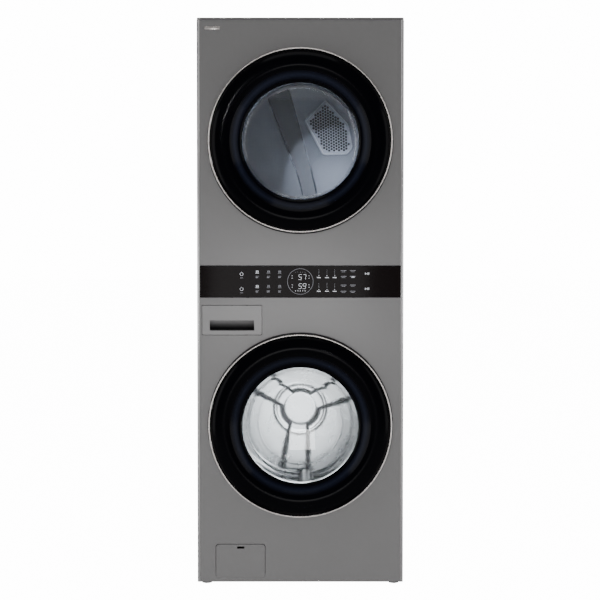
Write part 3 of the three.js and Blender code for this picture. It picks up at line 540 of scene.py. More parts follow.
# ---------------------------------------------------------------- control panel
# A band of smoked black glass across the full width, bent round both upright edges, with printed marks: a
# ring round two rows of figures, and rows of plain symbols and bars for the touch keys on either side.

smoked_glass = Finish("smoked_glass", Specular_IOR_Level=0.03, Coat_Weight=0.0, Metallic=0.0)
smoked_cloud = smoked_glass.noise(3.0, 2.0)
smoked_glass.set(Base_Color=smoked_glass.blend(smoked_cloud, (0.009, 0.0065, 0.0068), (0.012, 0.009, 0.009)))
smoked_glass.set(Roughness=0.05 + smoked_glass.noise(90, 3.0) * 0.035)
smoked_glass.bump(smoked_glass.noise(14, 1.0), 0.00004, 0.15)

fascia_bm = wrapped_sheet(
    half_width, front_y, (fascia_low.z, fascia_high.z), front_corner, fascia_high.y
)
control_panel = finished("control_panel", fascia_bm, "cabinet", smoked_glass, "black_glass", "control_fascia")
thicken(control_panel, 3 * mm, 0.5 * mm)

mark_y = front_y - 0.12 * mm
panel_z = (fascia_low.z + fascia_high.z) / 2


def print_bar(bm, x, z, width, height, turn=0.0):
    """A printed bar about x, z."""
    grid = bmesh.ops.create_grid(bm, x_segments=1, y_segments=1, size=0.5)["verts"]
    place = (
        Matrix.Translation((x, mark_y, z))
        @ Matrix.Rotation(turn, 4, "Y")
        @ Matrix.Rotation(math.pi / 2, 4, "X")
        @ Matrix.Diagonal((width, height, 1, 1))
    )
    bmesh.ops.transform(bm, matrix=place, verts=grid)


def print_dot(bm, x, z, radius):
    """A printed spot about x, z."""
    place = Matrix.Translation((x, mark_y, z)) @ Matrix.Rotation(math.pi / 2, 4, "X")
    bmesh.ops.create_circle(bm, cap_ends=True, segments=16, radius=radius, matrix=place)


def print_ring(bm, x, z, radius, line, start=0.0, sweep=2 * math.pi, steps=72):
    """A printed line along a circle about x, z, or along part of it."""
    ends = [(x + (radius + side * line / 2), mark_y, z) for side in (-1, 1)]
    verts = [bm.verts.new(end) for end in ends]
    line_edge = bm.edges.new(verts)
    whole = sweep > 6.28
    if start:
        bmesh.ops.rotate(bm, cent=(x, 0, z), matrix=Matrix.Rotation(start, 3, "Y"), verts=verts)
    bmesh.ops.spin(
        bm,
        geom=[*verts, line_edge],
        cent=(x, 0, z),
        axis=(0, 1, 0),
        angle=sweep,
        steps=steps,
        use_merge=whole,
    )


def printed(name, bm, finish):
    """The marks as one thin layer of print on the glass."""
    turn_outward(bm)
    for face in bm.faces:
        if face.normal.y > 0:
            face.normal_flip()
    piece = finished(name, bm, "cabinet", finish, "pale_plastic")
    wall = piece.modifiers.new("print", "SOLIDIFY")
    wall.thickness = 0.1 * mm
    wall.offset = -1
    return piece


white_print = Finish("white_print", Roughness=0.5, Emission_Color=(0.9, 0.93, 1.0))
white_speckle = white_print.noise(900, 2.0)
white_print.set(Base_Color=white_print.blend(white_speckle, (0.66, 0.67, 0.7), (0.82, 0.83, 0.86)))
white_print.set(Emission_Strength=0.55)
grey_print = Finish("grey_print", Roughness=0.6, Emission_Color=(0.7, 0.72, 0.8), Emission_Strength=0.1)
grey_speckle = grey_print.noise(900, 2.0)
grey_print.set(Base_Color=grey_print.blend(grey_speckle, (0.26, 0.26, 0.29), (0.36, 0.36, 0.4)))

bright_bm = bmesh.new()
dim_bm = bmesh.new()
print_ring(dim_bm, 0, panel_z, 42.6 * mm, 1.3 * mm)

# Each figure is made of seven bars: top, upper right, lower right, bottom, lower left, upper left, middle.
segments_lit = {5: (0, 2, 3, 5, 6), 7: (0, 1, 2), 9: (0, 1, 2, 3, 5, 6)}
figure_width = 9.5 * mm
figure_height = 17 * mm
figure_line = 1.35 * mm
figure_slant = 0.09


def print_figure(bm, digit, x, z):
    half_w, half_h = figure_width / 2, figure_height / 2
    bars = [
        (0, half_h, True),
        (half_w, half_h / 2, False),
        (half_w, -half_h / 2, False),
        (0, -half_h, True),
        (-half_w, -half_h / 2, False),
        (-half_w, half_h / 2, False),
        (0, 0, True),
    ]
    for index in segments_lit[digit]:
        dx, dz, flat = bars[index]
        size = (figure_width - figure_line, figure_line) if flat else (figure_line, half_h - figure_line)
        print_bar(bm, x + dx + dz * figure_slant * 2, z + dz, *size, 0.0 if flat else figure_slant)


for figures, z in (((5, 7), 14.8 * mm), ((5, 9), -15.3 * mm)):
    for digit, x in zip(figures, (-3.5 * mm, 10.5 * mm)):
        print_figure(bright_bm, digit, x + 3 * mm, panel_z + z)
for side in (-27 * mm, 29 * mm):
    for z in (19, 11, -11, -19):
        print_dot(bright_bm, side, panel_z + z * mm, 1.3 * mm)
for x in (-16, -8, 0, 8, 16):
    print_dot(bright_bm, x * mm, panel_z - 31 * mm, 1.4 * mm)
    print_dot(dim_bm, x * mm, panel_z + 31 * mm, 1.0 * mm)

# Two power keys at the left: a ring that is open at the top, with a short stroke in the gap.
power_x = -195 * mm
for z in (24.7 * mm, -25.1 * mm):
    print_ring(bright_bm, power_x, panel_z + z, 5.2 * mm, 1.1 * mm, math.radians(-60), math.radians(300), 28)
    print_bar(bright_bm, power_x, panel_z + z + 5.2 * mm, 1.0 * mm, 4.4 * mm)
    print_bar(dim_bm, power_x, panel_z + z - 12.6 * mm, 10 * mm, 1.6 * mm)

# Three columns of touch keys to the left of the ring: a small symbol and two short rows under it.
for column, x in enumerate((-143 * mm, -105.5 * mm, -68.5 * mm)):
    target = bright_bm if column == 0 else dim_bm
    for z in (34 * mm, -14 * mm):
        print_bar(target, x, panel_z + z + 1.5 * mm, 8.5 * mm, 1.3 * mm)
        print_bar(target, x - 2.2 * mm, panel_z + z - 2.0 * mm, 4.0 * mm, 4.0 * mm)
        print_bar(target, x + 3.0 * mm, panel_z + z - 2.0 * mm, 3.4 * mm, 4.0 * mm)
        print_bar(target, x, panel_z + z - 6.6 * mm, 11.5 * mm, 1.5 * mm)
        print_bar(dim_bm, x, panel_z + z - 16.5 * mm, 10.5 * mm, 1.4 * mm)
        print_bar(dim_bm, x - 1 * mm, panel_z + z - 20.5 * mm, 8.0 * mm, 3.2 * mm)

# Level lights to the right of the ring: a column of spots over a bar, for three settings of each machine.
for x in (61.5 * mm, 88.5 * mm, 114 * mm):
    for top in (38.5 * mm, -7 * mm):
        for step in range(4):
            print_dot(dim_bm, x, panel_z + top - step * 4.6 * mm, 1.0 * mm)
        print_bar(bright_bm, x, panel_z + top - 25.5 * mm, 12.5 * mm, 2.6 * mm)
        print_bar(bright_bm, x, panel_z + top - 19.6 * mm, 3.2 * mm, 1.5 * mm)

# Two columns of option keys, each a bar over a longer one.
for x in (143.5 * mm, 174 * mm):
    for z in (34.5 * mm, 15.5 * mm, -13.5 * mm, -34 * mm):
        print_bar(dim_bm, x, panel_z + z + 1.8 * mm, 19 * mm, 2.0 * mm)
        print_bar(dim_bm, x, panel_z + z - 2.4 * mm, 12 * mm, 1.6 * mm)
print_bar(bright_bm, 175 * mm, panel_z + 15.5 * mm, 9 * mm, 5.5 * mm)

# The two start keys: a triangle and two upright bars.
start_x = 221.8 * mm
for z in (26.2 * mm, -24 * mm):
    corners = [(-7, 3.6), (-7, -3.6), (-0.6, 0)]
    bright_bm.faces.new([bright_bm.verts.new((start_x + u * mm, mark_y, panel_z + z + v * mm))
                         for u, v in corners])
    for x in (2.2 * mm, 5.8 * mm):
        print_bar(bright_bm, start_x + x, panel_z + z, 1.9 * mm, 7.2 * mm)
printed("bright_panel_marks", bright_bm, white_print)
printed("dim_panel_marks", dim_bm, grey_print)

# ---------------------------------------------------------------- doors
# Each door is a black moulded ring frame with a thin satin trim ring, a deep annulus of black glass that
# runs in like a funnel, and a clear glass bowl or window held in the frame. Hook and hinge are at its sides.


def spun_about(centre_z, profile, steps=128, closed=True, rounded=(), radius=0.0, round_steps=5):
    """A profile of (radius, y) points turned about the door axis. The points numbered in rounded are
    given round corners first."""
    bm = bmesh.new()
    verts = [bm.verts.new((r, y, centre_z)) for r, y in profile]
    for pair in zip(verts, verts[1:] + verts[:1] if closed else verts[1:]):
        bm.edges.new(pair)
    if rounded:
        rounded_off(bm, [verts[i] for i in rounded], radius, round_steps, "VERTICES")
    bmesh.ops.spin(
        bm,
        geom=bm.verts[:] + bm.edges[:],
        cent=(0, 0, centre_z),
        axis=(0, 1, 0),
        angle=2 * math.pi,
        steps=steps,
        use_merge=True,
    )
    bmesh.ops.remove_doubles(bm, verts=bm.verts[:], dist=1e-6)
    bmesh.ops.recalc_face_normals(bm, faces=bm.faces[:])
    return bm


def add_block(bm, x, y, z, edge=0.0):
    """A block between two values on each axis, with broken edges, added to a bmesh."""
    centre = [(a + b) / 2 for a, b in (x, y, z)]
    size = [b - a for a, b in (x, y, z)]
    place = Matrix.Translation(centre) @ Matrix.Diagonal((*size, 1))
    made = bmesh.ops.create_cube(bm, size=1, matrix=place)["verts"]
    if edge:
        rounded_off(bm, list({e for v in made for e in v.link_edges}), edge, 2)
    return bm


def merge_in(bm, part):
    """Adds another bmesh to a bmesh, and frees it."""
    mesh = bpy.data.meshes.new("merged")
    part.to_mesh(mesh)
    part.free()
    bm.from_mesh(mesh)
    bpy.data.meshes.remove(mesh)
    return bm


def carved(bm, *cutters):
    """The bmesh with closed cutters taken away from it."""
    shapes = []
    for index, shape in enumerate((bm, *cutters)):
        mesh = bpy.data.meshes.new(f"carving_{index}")
        shape.to_mesh(mesh)
        shape.free()
        holder = bpy.data.objects.new(f"carving_{index}", mesh)
        bpy.context.scene.collection.objects.link(holder)
        shapes.append(holder)
    for cutter in shapes[1:]:
        cut = shapes[0].modifiers.new("cut", "BOOLEAN")
        cut.object = cutter
        cut.solver = "EXACT"
    bpy.context.view_layer.update()
    result = bmesh.new()
    result.from_object(shapes[0], bpy.context.evaluated_depsgraph_get())
    for holder in shapes:
        mesh = holder.data
        bpy.data.objects.remove(holder)
        bpy.data.meshes.remove(mesh)
    return result


trim_metal = grained("satin_trim", (60, 4.0, (1, 14, 1)), ((0.78, 0.73, 0.70), (0.92, 0.87, 0.84)),
                     (0.2, 0.14), depth=0, Metallic=1.0)

door_glass = Finish("door_black_glass", Specular_IOR_Level=0.045)
door_cloud = door_glass.noise(5, 2.0)
door_place = door_glass.node("ShaderNodeSeparateXYZ", inputs={"Vector": door_glass.place}, out="X")
door_height = Wire(door_glass, door_place.socket.node.outputs["Z"])
from_middle = door_height - (washer_z + dryer_z) / 2
off_axis = (from_middle * from_middle) ** 0.5 - (dryer_z - washer_z) / 2
off_radius = (door_place * door_place + off_axis * off_axis) ** 0.5
# A painted reflection: a faint bluish ring in the base colour round the funnel's shoulder, where soft light
# shows in the black glass.
painted_glow_ring = door_glass.node(
    "ShaderNodeValToRGB",
    {"stops": [(0.14, (0, 0, 0, 1)), (0.4, (1, 1, 1, 1)), (0.66, (0, 0, 0, 1))]},
    {"Fac": (off_radius - (port_radius - 22 * mm)) / (56 * mm)},
)
door_tone = door_glass.blend(door_cloud, (0.0004, 0.0005, 0.0014), (0.0008, 0.0009, 0.0022))
door_glass.set(Base_Color=door_glass.blend(painted_glow_ring, door_tone, (0.010, 0.0125, 0.024)))
door_glass.set(Roughness=0.12 + door_glass.noise(60, 3.0) * 0.06)
door_glass.bump(door_glass.noise(9, 1.0), 0.00003, 0.12)

moulded_black = grained("moulded_black", (900, 3.0), ((0.006, 0.006, 0.007), (0.011, 0.011, 0.012)),
                        (0.34, 0.14), None, 0.00005, 0.35, Specular_IOR_Level=0.22)


def clear_glass(name, tint, roughness):
    """Solid glass that lets the lamps through to what is behind it."""
    glass = Finish(name, Base_Color=(*tint, 1), Transmission_Weight=1.0, IOR=1.5, Roughness=roughness)
    faint_wave = glass.noise(7, 1.0)
    glass.bump(faint_wave, 0.00003, 0.1)
    in_shade = glass.node("ShaderNodeLightPath", out="Is Shadow Ray")
    through = glass.node("ShaderNodeBsdfTransparent", inputs={"Color": tint})
    solid = Wire(glass, glass.shader.outputs["BSDF"])
    mixed = glass.node("ShaderNodeMixShader", inputs={0: in_shade, 1: solid, 2: through})
    glass.feed(glass.tree.nodes["Material Output"].inputs["Surface"], mixed)
    return glass


washer_glass = clear_glass("washer_bowl_glass", (0.95, 0.97, 0.98), 0.015)
dryer_glass = clear_glass("dryer_window_glass", (0.86, 0.89, 0.94), 0.015)

door_proud = front_y - washer_ring_low.y
ring_back = washer_ring_high.y
ring_inner = door_radius - 4 * mm
frame_radius = door_radius - 1.5 * mm
frame_inner = port_radius - 11 * mm
frame_wall = 3 * mm
frame_flare = 6.5 * mm
frame_back = front_y - 4 * mm
bowl_rim = frame_inner - 1.5 * mm
bowl_seat = frame_back - 5.5 * mm
bowl_throat = bowl_rim - 16 * mm
hinge_x = -286 * mm
lug_inner, lug_outer = 54 * mm, 66 * mm
hook_reach = 22 * mm


def door_frame(z):
    """The black moulded back of a door: a channel ring, open to the front, with its hook."""
    outline = [
        (frame_radius, ring_back + 0.3 * mm),
        (frame_radius + frame_flare, frame_back - 11 * mm),
        (frame_radius - 11 * mm, frame_back),
        (frame_inner, frame_back),
        (frame_inner, frame_back - 8 * mm),
        (frame_inner + frame_wall, frame_back - 8 * mm),
        (frame_inner + frame_wall, frame_back - frame_wall),
        (frame_radius - 12 * mm, frame_back - frame_wall),
        (frame_radius + frame_flare - frame_wall, frame_back - 12 * mm),
        (frame_radius - frame_wall, ring_back + 0.3 * mm),
    ]
    body = spun_about(z, outline, 144, rounded=(1, 2, 3), radius=1.6 * mm, round_steps=3)
    rooms = []
    for side in (-1, 1):
        ends = sorted((z + side * (lug_inner - 2 * mm), z + side * (lug_outer + 10 * mm)))
        room_x = (hinge_x - 34 * mm, hinge_x + 28 * mm)
        rooms.append(add_block(bmesh.new(), room_x, (ring_back, front_y + 5 * mm), ends))
    body = carved(body, *rooms)
    hook = bmesh.new()
    hook_side = (hook_x - 5 * mm, hook_x + 5 * mm)
    hook_ends = (z - 10 * mm, z + 10 * mm)
    add_block(hook, hook_side, (frame_back - 1 * mm, front_y + hook_reach), hook_ends, 0.8 * mm)
    notch_y = (front_y + 8 * mm, front_y + 15 * mm)
    notch = add_block(bmesh.new(), (hook_side[0] - 1 * mm, hook_side[0] + 5 * mm), notch_y,
                      widened(*hook_ends, 1 * mm))
    return merge_in(body, carved(hook, notch))


def trim_ring(z):
    """The thin satin ring round the front of a door."""
    outline = [
        (ring_inner, ring_back),
        (door_radius, ring_back),
        (door_radius, front_y - door_proud),
        (ring_inner, front_y - door_proud),
    ]
    return spun_about(z, outline, 180, rounded=(2, 3), radius=1.6 * mm)


def black_annulus(z):
    """The black glass of a door: flat outside, then a round shoulder and a funnel to the window."""
    path = [
        (ring_inner - 2 * mm, front_y - door_proud + 3.2 * mm),
        (port_radius + 21 * mm, front_y - door_proud + 9.2 * mm),
        (port_radius - 3 * mm, front_y - 20 * mm),
        (bowl_rim + 1 * mm, bowl_seat - 6 * mm),
        (bowl_throat + 5 * mm, bowl_seat - 5.5 * mm),
    ]
    bm = spun_about(z, path, 180, closed=False, rounded=(1, 2), radius=9 * mm, round_steps=8)
    return turn_outward(bm)


bowl_paths = {
    "washer": [(bowl_throat - 13 * mm, 50 * mm), (bowl_throat - 50 * mm, 98 * mm), (0, 113 * mm)],
    "dryer": [(bowl_throat - 2 * mm, 24 * mm), (0, 30 * mm)],
}


def bowl_shell(z, inner_path, bend):
    """The window glass as a shell: a flat rim, then a bowl that runs back through inner_path."""
    path = [(bowl_rim, bowl_seat), (bowl_throat + 6 * mm, bowl_seat)]
    path += [(r, front_y + depth) for r, depth in inner_path]
    rounded = range(1, len(path) - 1)
    bm = spun_about(z, path, 144, closed=False, rounded=rounded, radius=bend, round_steps=8)
    return turn_outward(bm)


for machine, z, window, glass, bend in (
    ("washer", washer_z, "bowl", washer_glass, 12 * mm),
    ("dryer", dryer_z, "window", dryer_glass, 9 * mm),
):
    body = f"{machine}_door"
    frame_piece = finished(
        f"{machine}_frame_moulding", door_frame(z), body, moulded_black, "black_plastic",
        f"{machine}_door_frame",
    )
    soften(frame_piece, 0.4 * mm, 2, 50)
    finished(f"{machine}_trim_ring", trim_ring(z), body, trim_metal, "trim_chrome", f"{machine}_door_ring",
             smooth=50)
    annulus = finished(f"{machine}_black_annulus", black_annulus(z), body, door_glass, "black_glass",
                       f"{machine}_door_fascia", smooth=60)
    thicken(annulus, 3.2 * mm)
    pane = finished(f"{machine}_{window}_glass", bowl_shell(z, bowl_paths[machine], bend), body, glass,
                    "clear_glass", f"{machine}_door_{window}", smooth=60)
    thicken(pane, 4 * mm)

# ---------------------------------------------------------------- hinges and the lock
# Stamped, galvanised hinges: a plate with two lugs on the cabinet, and a leaf with the pin in the door's
# back. The lock is a black moulding behind the front.

galvanised = Finish("galvanised_sheet", Metallic=0.85)
spangle = galvanised.node(
    "ShaderNodeTexVoronoi", {"feature": "F1"}, {"Vector": galvanised.place, "Scale": 95.0}, out="Color"
)
spangle_tone = galvanised.node("ShaderNodeSeparateColor", inputs={"Color": spangle}, out="Red")
galvanised.set(Base_Color=galvanised.blend(spangle_tone, (0.43, 0.45, 0.47), (0.60, 0.62, 0.64)))
galvanised.set(Roughness=0.34 + spangle_tone * 0.16)
galvanised.bump(galvanised.noise(160, 2.0), 0.00005, 0.25)


def refined(name, node, body, finish, slot, edge, segments=2, angle=30):
    """A CAD node's shape with its edges broken, as its maker would leave them."""
    bm = bmesh.new()
    bm.from_mesh(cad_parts[node].data)
    bmesh.ops.remove_doubles(bm, verts=bm.verts[:], dist=1e-6)
    flat = math.radians(0.5)
    bmesh.ops.dissolve_limit(
        bm, angle_limit=flat, use_dissolve_boundaries=False, verts=bm.verts[:], edges=bm.edges[:]
    )
    piece = finished(name, bm, body, finish, slot, node, smooth=angle)
    soften(piece, edge, segments, angle)
    return piece


for machine in ("washer", "dryer"):
    refined(f"{machine}_hinge_plate", f"{machine}_hinge_bracket", "cabinet", galvanised,
            "galvanised_steel", 0.5 * mm)
    refined(f"{machine}_hinge_pin_leaf", f"{machine}_door_hinge_leaf", f"{machine}_door", galvanised,
            "galvanised_steel", 0.5 * mm)
refined("lock_moulding", "washer_door_lock", "cabinet", moulded_black, "black_plastic", 0.8 * mm)

# ---------------------------------------------------------------- washer bellows and tub
# A folded grey rubber bellows joins the door port to the tub, so the tub can float. The tub and its front
# cover are pale mouldings, and a concrete ring weights the front.

bellows_rubber = grained("bellows_rubber", (35, 4.0), ((0.045, 0.047, 0.05), (0.075, 0.077, 0.08)),
                         (0.5, 0.2), (500, 2.0), 0.00006, 0.3, Specular_IOR_Level=0.4)

gasket_low, gasket_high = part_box("door_gasket")
tub_neck = port_radius - 13 * mm
bellows_front = gasket_low.y + 3 * mm
bellows_back = gasket_high.y
bellows_path = [
    (port_radius - 4.5 * mm, bellows_front),
    (tub_neck - 3 * mm, bellows_front + 3 * mm),
    (tub_neck - 3 * mm, bellows_front + 13 * mm),
    (port_radius - 4.5 * mm, bellows_front + 20 * mm),
    (port_radius - 4.5 * mm, bellows_front + 26 * mm),
    (tub_neck + 6.2 * mm, bellows_front + 34 * mm),
    (tub_neck + 6.2 * mm, bellows_back),
]
bellows_bm = spun_about(
    washer_z, bellows_path, 128, closed=False, rounded=range(1, 6), radius=2.6 * mm, round_steps=4
)
bmesh.ops.recalc_face_normals(bellows_bm, faces=bellows_bm.faces[:])
bellows = finished("door_bellows", bellows_bm, None, bellows_rubber, "grey_rubber", "door_gasket", smooth=50)
bellows_wall = bellows.modifiers.new("wall", "SOLIDIFY")
bellows_wall.thickness = 2.4 * mm
bellows_wall.offset = 0
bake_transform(bellows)

pale_moulding = grained("pale_moulding", (16, 4.0), ((0.60, 0.61, 0.61), (0.70, 0.71, 0.71)),
                        (0.42, 0.12), (600, 2.0), 0.00004, Specular_IOR_Level=0.4)
cast_concrete = Finish("cast_concrete", Specular_IOR_Level=0.3)
concrete_grit = cast_concrete.noise(240, 6.0)
concrete_patch = cast_concrete.noise(14, 3.0)
concrete_tone = cast_concrete.blend(concrete_grit, (0.26, 0.25, 0.24), (0.42, 0.41, 0.39))
cast_concrete.set(Base_Color=cast_concrete.blend(concrete_patch * 0.5, concrete_tone, (0.3, 0.295, 0.285)))
cast_concrete.set(Roughness=0.8 + concrete_grit * 0.15)
cast_concrete.bump(concrete_grit, 0.0006, 0.5)
coat(pale_moulding, "washer_tub", "tub_front_cover")
coat(cast_concrete, "counterweight")

# ---------------------------------------------------------------- washer drum
# A bright stainless drum: a wall punched all over with small holes, a pressed back with a three-armed relief,
# a rolled front with a wide mouth, and three grey lifters.

stainless = Finish("stainless_drum", Metallic=1.0)
drum_brush = stainless.noise(24, 5.0, (1, 18, 1))
drum_cloud = stainless.noise(5, 2.0)
stainless.set(Base_Color=stainless.blend(drum_brush, (0.74, 0.76, 0.78), (0.9, 0.91, 0.92)))
stainless.set(Roughness=0.2 + drum_brush * 0.1 + drum_cloud * 0.06)
stainless.bump(drum_brush, 0.00003, 0.2)

drum_low, drum_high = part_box("washer_drum")
drum_radius = drum_high.x
drum_front, drum_back = drum_low.y + 0.8 * mm, drum_high.y - 0.8 * mm
drum_mouth = port_radius + 7 * mm
wall_front, wall_back = drum_front + 16 * mm, drum_back - 18 * mm
hole_pitch = 19 * mm
hole_radius = 2.6 * mm
hole_depth = 1.6 * mm
drum_steel = 0.6 * mm


def punched_cell(bm, u, v, width, height):
    """A rectangle of sheet in the XZ plane about u, v, with a hole whose rim is pressed inwards."""
    centre = Matrix.Translation((u, 0, v)) @ Matrix.Rotation(math.pi / 2, 4, "X")
    rim = bmesh.ops.create_circle(bm, segments=8, radius=hole_radius, matrix=centre)["verts"]
    rim_edges = list({e for vert in rim for e in vert.link_edges})
    half_w, half_h = width / 2, height / 2
    corners = [(1, 0), (1, 1), (0, 1), (-1, 1), (-1, 0), (-1, -1), (0, -1), (1, -1)]
    outer = [bm.verts.new((u + a * half_w, 0, v + b * half_h)) for a, b in corners]
    outer_edges = [bm.edges.new(pair) for pair in zip(outer, outer[1:] + outer[:1])]
    bmesh.ops.bridge_loops(bm, edges=rim_edges + outer_edges)
    extruded_edges(bm, rim_edges, (0, hole_depth, 0))


def face_axis(bm, x, z, inwards=True):
    """Turns a wall round an axis over if it doesn't face in towards the axis, or out from it."""
    inward = 0.0
    for face in bm.faces:
        at = face.calc_center_median()
        inward += (Vector((x, at.y, z)) - at).dot(face.normal)
    if (inward > 0) != inwards:
        bmesh.ops.reverse_faces(bm, faces=bm.faces[:])
    return bm


def punched_wall(radius, y, centre_z, pitch):
    """A punched sheet rolled into a drum wall about the Y axis, its holes staggered row by row."""
    around = round(2 * math.pi * radius / pitch)
    along = max(1, round((y[1] - y[0]) / pitch))
    width, height = 2 * math.pi * radius / around, (y[1] - y[0]) / along
    cell = bmesh.new()
    punched_cell(cell, 0, 0, width, height)
    cell_mesh = bpy.data.meshes.new("punched_cell")
    cell.to_mesh(cell_mesh)
    cell.free()
    bm = bmesh.new()
    for row in range(along):
        for column in range(around):
            first = len(bm.verts)
            bm.from_mesh(cell_mesh)
            bm.verts.ensure_lookup_table()
            shift = 0.5 if row % 2 else 0.0
            move = ((column + shift) * width, 0, (row + 0.5) * height)
            bmesh.ops.translate(bm, verts=bm.verts[first:], vec=move)
    bpy.data.meshes.remove(cell_mesh)
    for vert in bm.verts:
        turn, depth, along_y = vert.co.x / radius, vert.co.y, vert.co.z
        out = radius + depth
        vert.co = (out * math.cos(turn), y[0] + along_y, centre_z + out * math.sin(turn))
    bmesh.ops.remove_doubles(bm, verts=bm.verts[:], dist=1e-5)
    bmesh.ops.recalc_face_normals(bm, faces=bm.faces[:])
    return face_axis(bm, 0, centre_z)


punched = punched_wall(drum_radius - 1.2 * mm, (wall_front, wall_back), washer_z, hole_pitch)
drum_wall = finished("drum_wall", punched, "washer_drum", stainless, "stainless_steel", "washer_drum",
                     smooth=40)
thicken(drum_wall, drum_steel)

drum_mouth_path = [
    (drum_mouth + 3 * mm, drum_front + 7 * mm),
    (drum_mouth, drum_front + 3.5 * mm),
    (drum_mouth + 4 * mm, drum_front),
    (drum_radius - 20 * mm, drum_front + 1 * mm),
    (drum_radius - 1.2 * mm, drum_front + 12 * mm),
    (drum_radius - 1.2 * mm, wall_front),
]
mouth_bm = spun_about(washer_z, drum_mouth_path, 128, closed=False, rounded=(1, 2, 3, 4), radius=2.2 * mm)
drum_lip = finished(
    "drum_front_lip", turn_outward(mouth_bm), "washer_drum", stainless,
    "stainless_steel", smooth=60,
)
thicken(drum_lip, 1 * mm)


def pressed_back(radius, y, centre_z, relief):
    """A round plate turned about the Y axis, its face lifted forward by relief(radius, angle)."""
    rings = 60
    path = [(radius * i / rings, y) for i in range(rings + 1)]
    bm = spun_about(centre_z, path, 144, closed=False)
    for vert in bm.verts:
        out = math.hypot(vert.co.x, vert.co.z - centre_z)
        vert.co.y -= relief(out, math.atan2(vert.co.z - centre_z, vert.co.x))
    return turn_outward(bm)


def smooth_step(low, high, value):
    share = min(1.0, max(0.0, (value - low) / (high - low)))
    return share * share * (3 - 2 * share)


def three_arms(radius, angle):
    """The drum back's relief: a boss, three arms that widen outwards, and two rings."""
    boss = 10 * mm * (1 - smooth_step(58 * mm, 74 * mm, radius))
    from_arm = abs((angle - math.radians(25)) % (2 * math.pi / 3) - math.pi / 3)
    across = (math.pi / 3 - from_arm) * max(radius, 1 * mm)
    half = 22 * mm + radius * 0.1
    arm = 9 * mm * (1 - smooth_step(half, half + 9 * mm, across))
    arm *= 1 - smooth_step(drum_radius - 52 * mm, drum_radius - 36 * mm, radius)
    rings = sum(
        2.5 * mm * math.exp(-((radius - at) / (4 * mm)) ** 2) for at in (drum_radius - 26 * mm, 92 * mm)
    )
    return max(boss, arm) + rings


back_radius = drum_radius - 19 * mm
back_bm = pressed_back(back_radius, drum_back, washer_z, three_arms)
drum_rear = finished("drum_back", back_bm, "washer_drum", stainless, "stainless_steel", smooth=60)
drum_rear.data.shade_smooth()
thicken(drum_rear, drum_steel)
shoulder_path = [
    (drum_radius - 1.2 * mm, wall_back),
    (drum_radius - 1.2 * mm, drum_back - 15 * mm),
    (back_radius, drum_back),
]
shoulder_bm = spun_about(washer_z, shoulder_path, 128, closed=False, rounded=(1,), radius=5 * mm)
drum_shoulder = finished("drum_shoulder", turn_outward(shoulder_bm), "washer_drum",
                         stainless, "stainless_steel", smooth=60)
thicken(drum_shoulder, drum_steel)

lifter_moulding = grained("lifter_moulding", (20, 3.0), ((0.34, 0.35, 0.37), (0.42, 0.43, 0.45)),
                          (0.3, 0.12), (700, 2.0), strength=0.2, Specular_IOR_Level=0.5)

lifter_low, lifter_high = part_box("washer_lifter_1")
lifter_y = (lifter_low.y, lifter_high.y)


def lifter_bm(angle, axis_z, wall_radius, y, height, base, top):
    """A hollow ridge with sloping sides and a round crest, standing in from the drum wall at an angle."""
    bm = bmesh.new()
    foot = wall_radius * math.cos(math.radians(base / 2)) - 0.6 * mm
    half_foot = wall_radius * math.sin(math.radians(base / 2))
    half_top = (wall_radius - height) * math.sin(math.radians(top / 2)) + 6 * mm
    add_block(bm, (-half_foot, half_foot), y, (-foot, -(wall_radius - height)))
    for vert in bm.verts:
        if vert.co.z > -foot + 1e-5:
            vert.co.x *= half_top / half_foot
            vert.co.y += (18 * mm) if vert.co.y < (y[0] + y[1]) / 2 else (-18 * mm)
    crest = [e for e in bm.edges if any(v.co.z > -foot + 1e-5 for v in e.verts)]
    rounded_off(bm, crest, 7 * mm, 5)
    spin = Matrix.Rotation(-math.radians(angle + 90), 4, "Y")
    bmesh.ops.transform(bm, matrix=Matrix.Translation((0, 0, axis_z)) @ spin, verts=bm.verts[:])
    return bm


for number, angle in ((1, -85), (2, 35), (3, 155)):
    finished(f"lifter_{number}", lifter_bm(angle, washer_z, drum_radius - 2.5 * mm, lifter_y, 56 * mm, 15, 4),
             "washer_drum", lifter_moulding, "grey_plastic", f"washer_lifter_{number}", smooth=50)

# ---------------------------------------------------------------- dryer drum and bulkheads
# The dryer drum is a plain bright sheet with two beads and three lifters. It turns between a front bulkhead
# with the throat behind the door, and a rear bulkhead whose pan carries the air grille.

dryer_sheet = Finish("dryer_drum_sheet", Metallic=0.8)
sheet_cloud = dryer_sheet.noise(6, 3.0)
sheet_grain = dryer_sheet.noise(800, 2.0)
dryer_sheet.set(Base_Color=dryer_sheet.blend(sheet_cloud, (0.44, 0.46, 0.49), (0.54, 0.56, 0.59)))
dryer_sheet.set(Roughness=0.3 + sheet_grain * 0.1)
dryer_sheet.bump(sheet_grain, 0.00004, 0.25)

dryer_low, dryer_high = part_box("dryer_drum")
rear_plate_low, rear_plate_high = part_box("dryer_rear_bulkhead")
front_plate_low, front_plate_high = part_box("dryer_front_bulkhead")
drum_wall_radius = 318 * mm
drum_beads = [dryer_low.y + 90 * mm, dryer_high.y - 90 * mm]
dryer_path = [(drum_wall_radius - 0.8 * mm, dryer_low.y)]
for bead in drum_beads:
    for step in range(7):
        lift = 5 * mm * math.sin(math.pi * step / 6)
        dryer_path.append((drum_wall_radius - 0.8 * mm - lift, bead + (step - 3) * 4 * mm))
dryer_path.append((drum_wall_radius - 0.8 * mm, dryer_high.y))
dryer_bm = face_axis(spun_about(dryer_z, dryer_path, 128, closed=False), 0, dryer_z)
for angle in (35, 155, 275):
    ridge = lifter_bm(angle, dryer_z, drum_wall_radius - 1.5 * mm,
                      (dryer_low.y + 30 * mm, dryer_high.y - 30 * mm), 58 * mm, 12, 3)
    merge_in(dryer_bm, ridge)
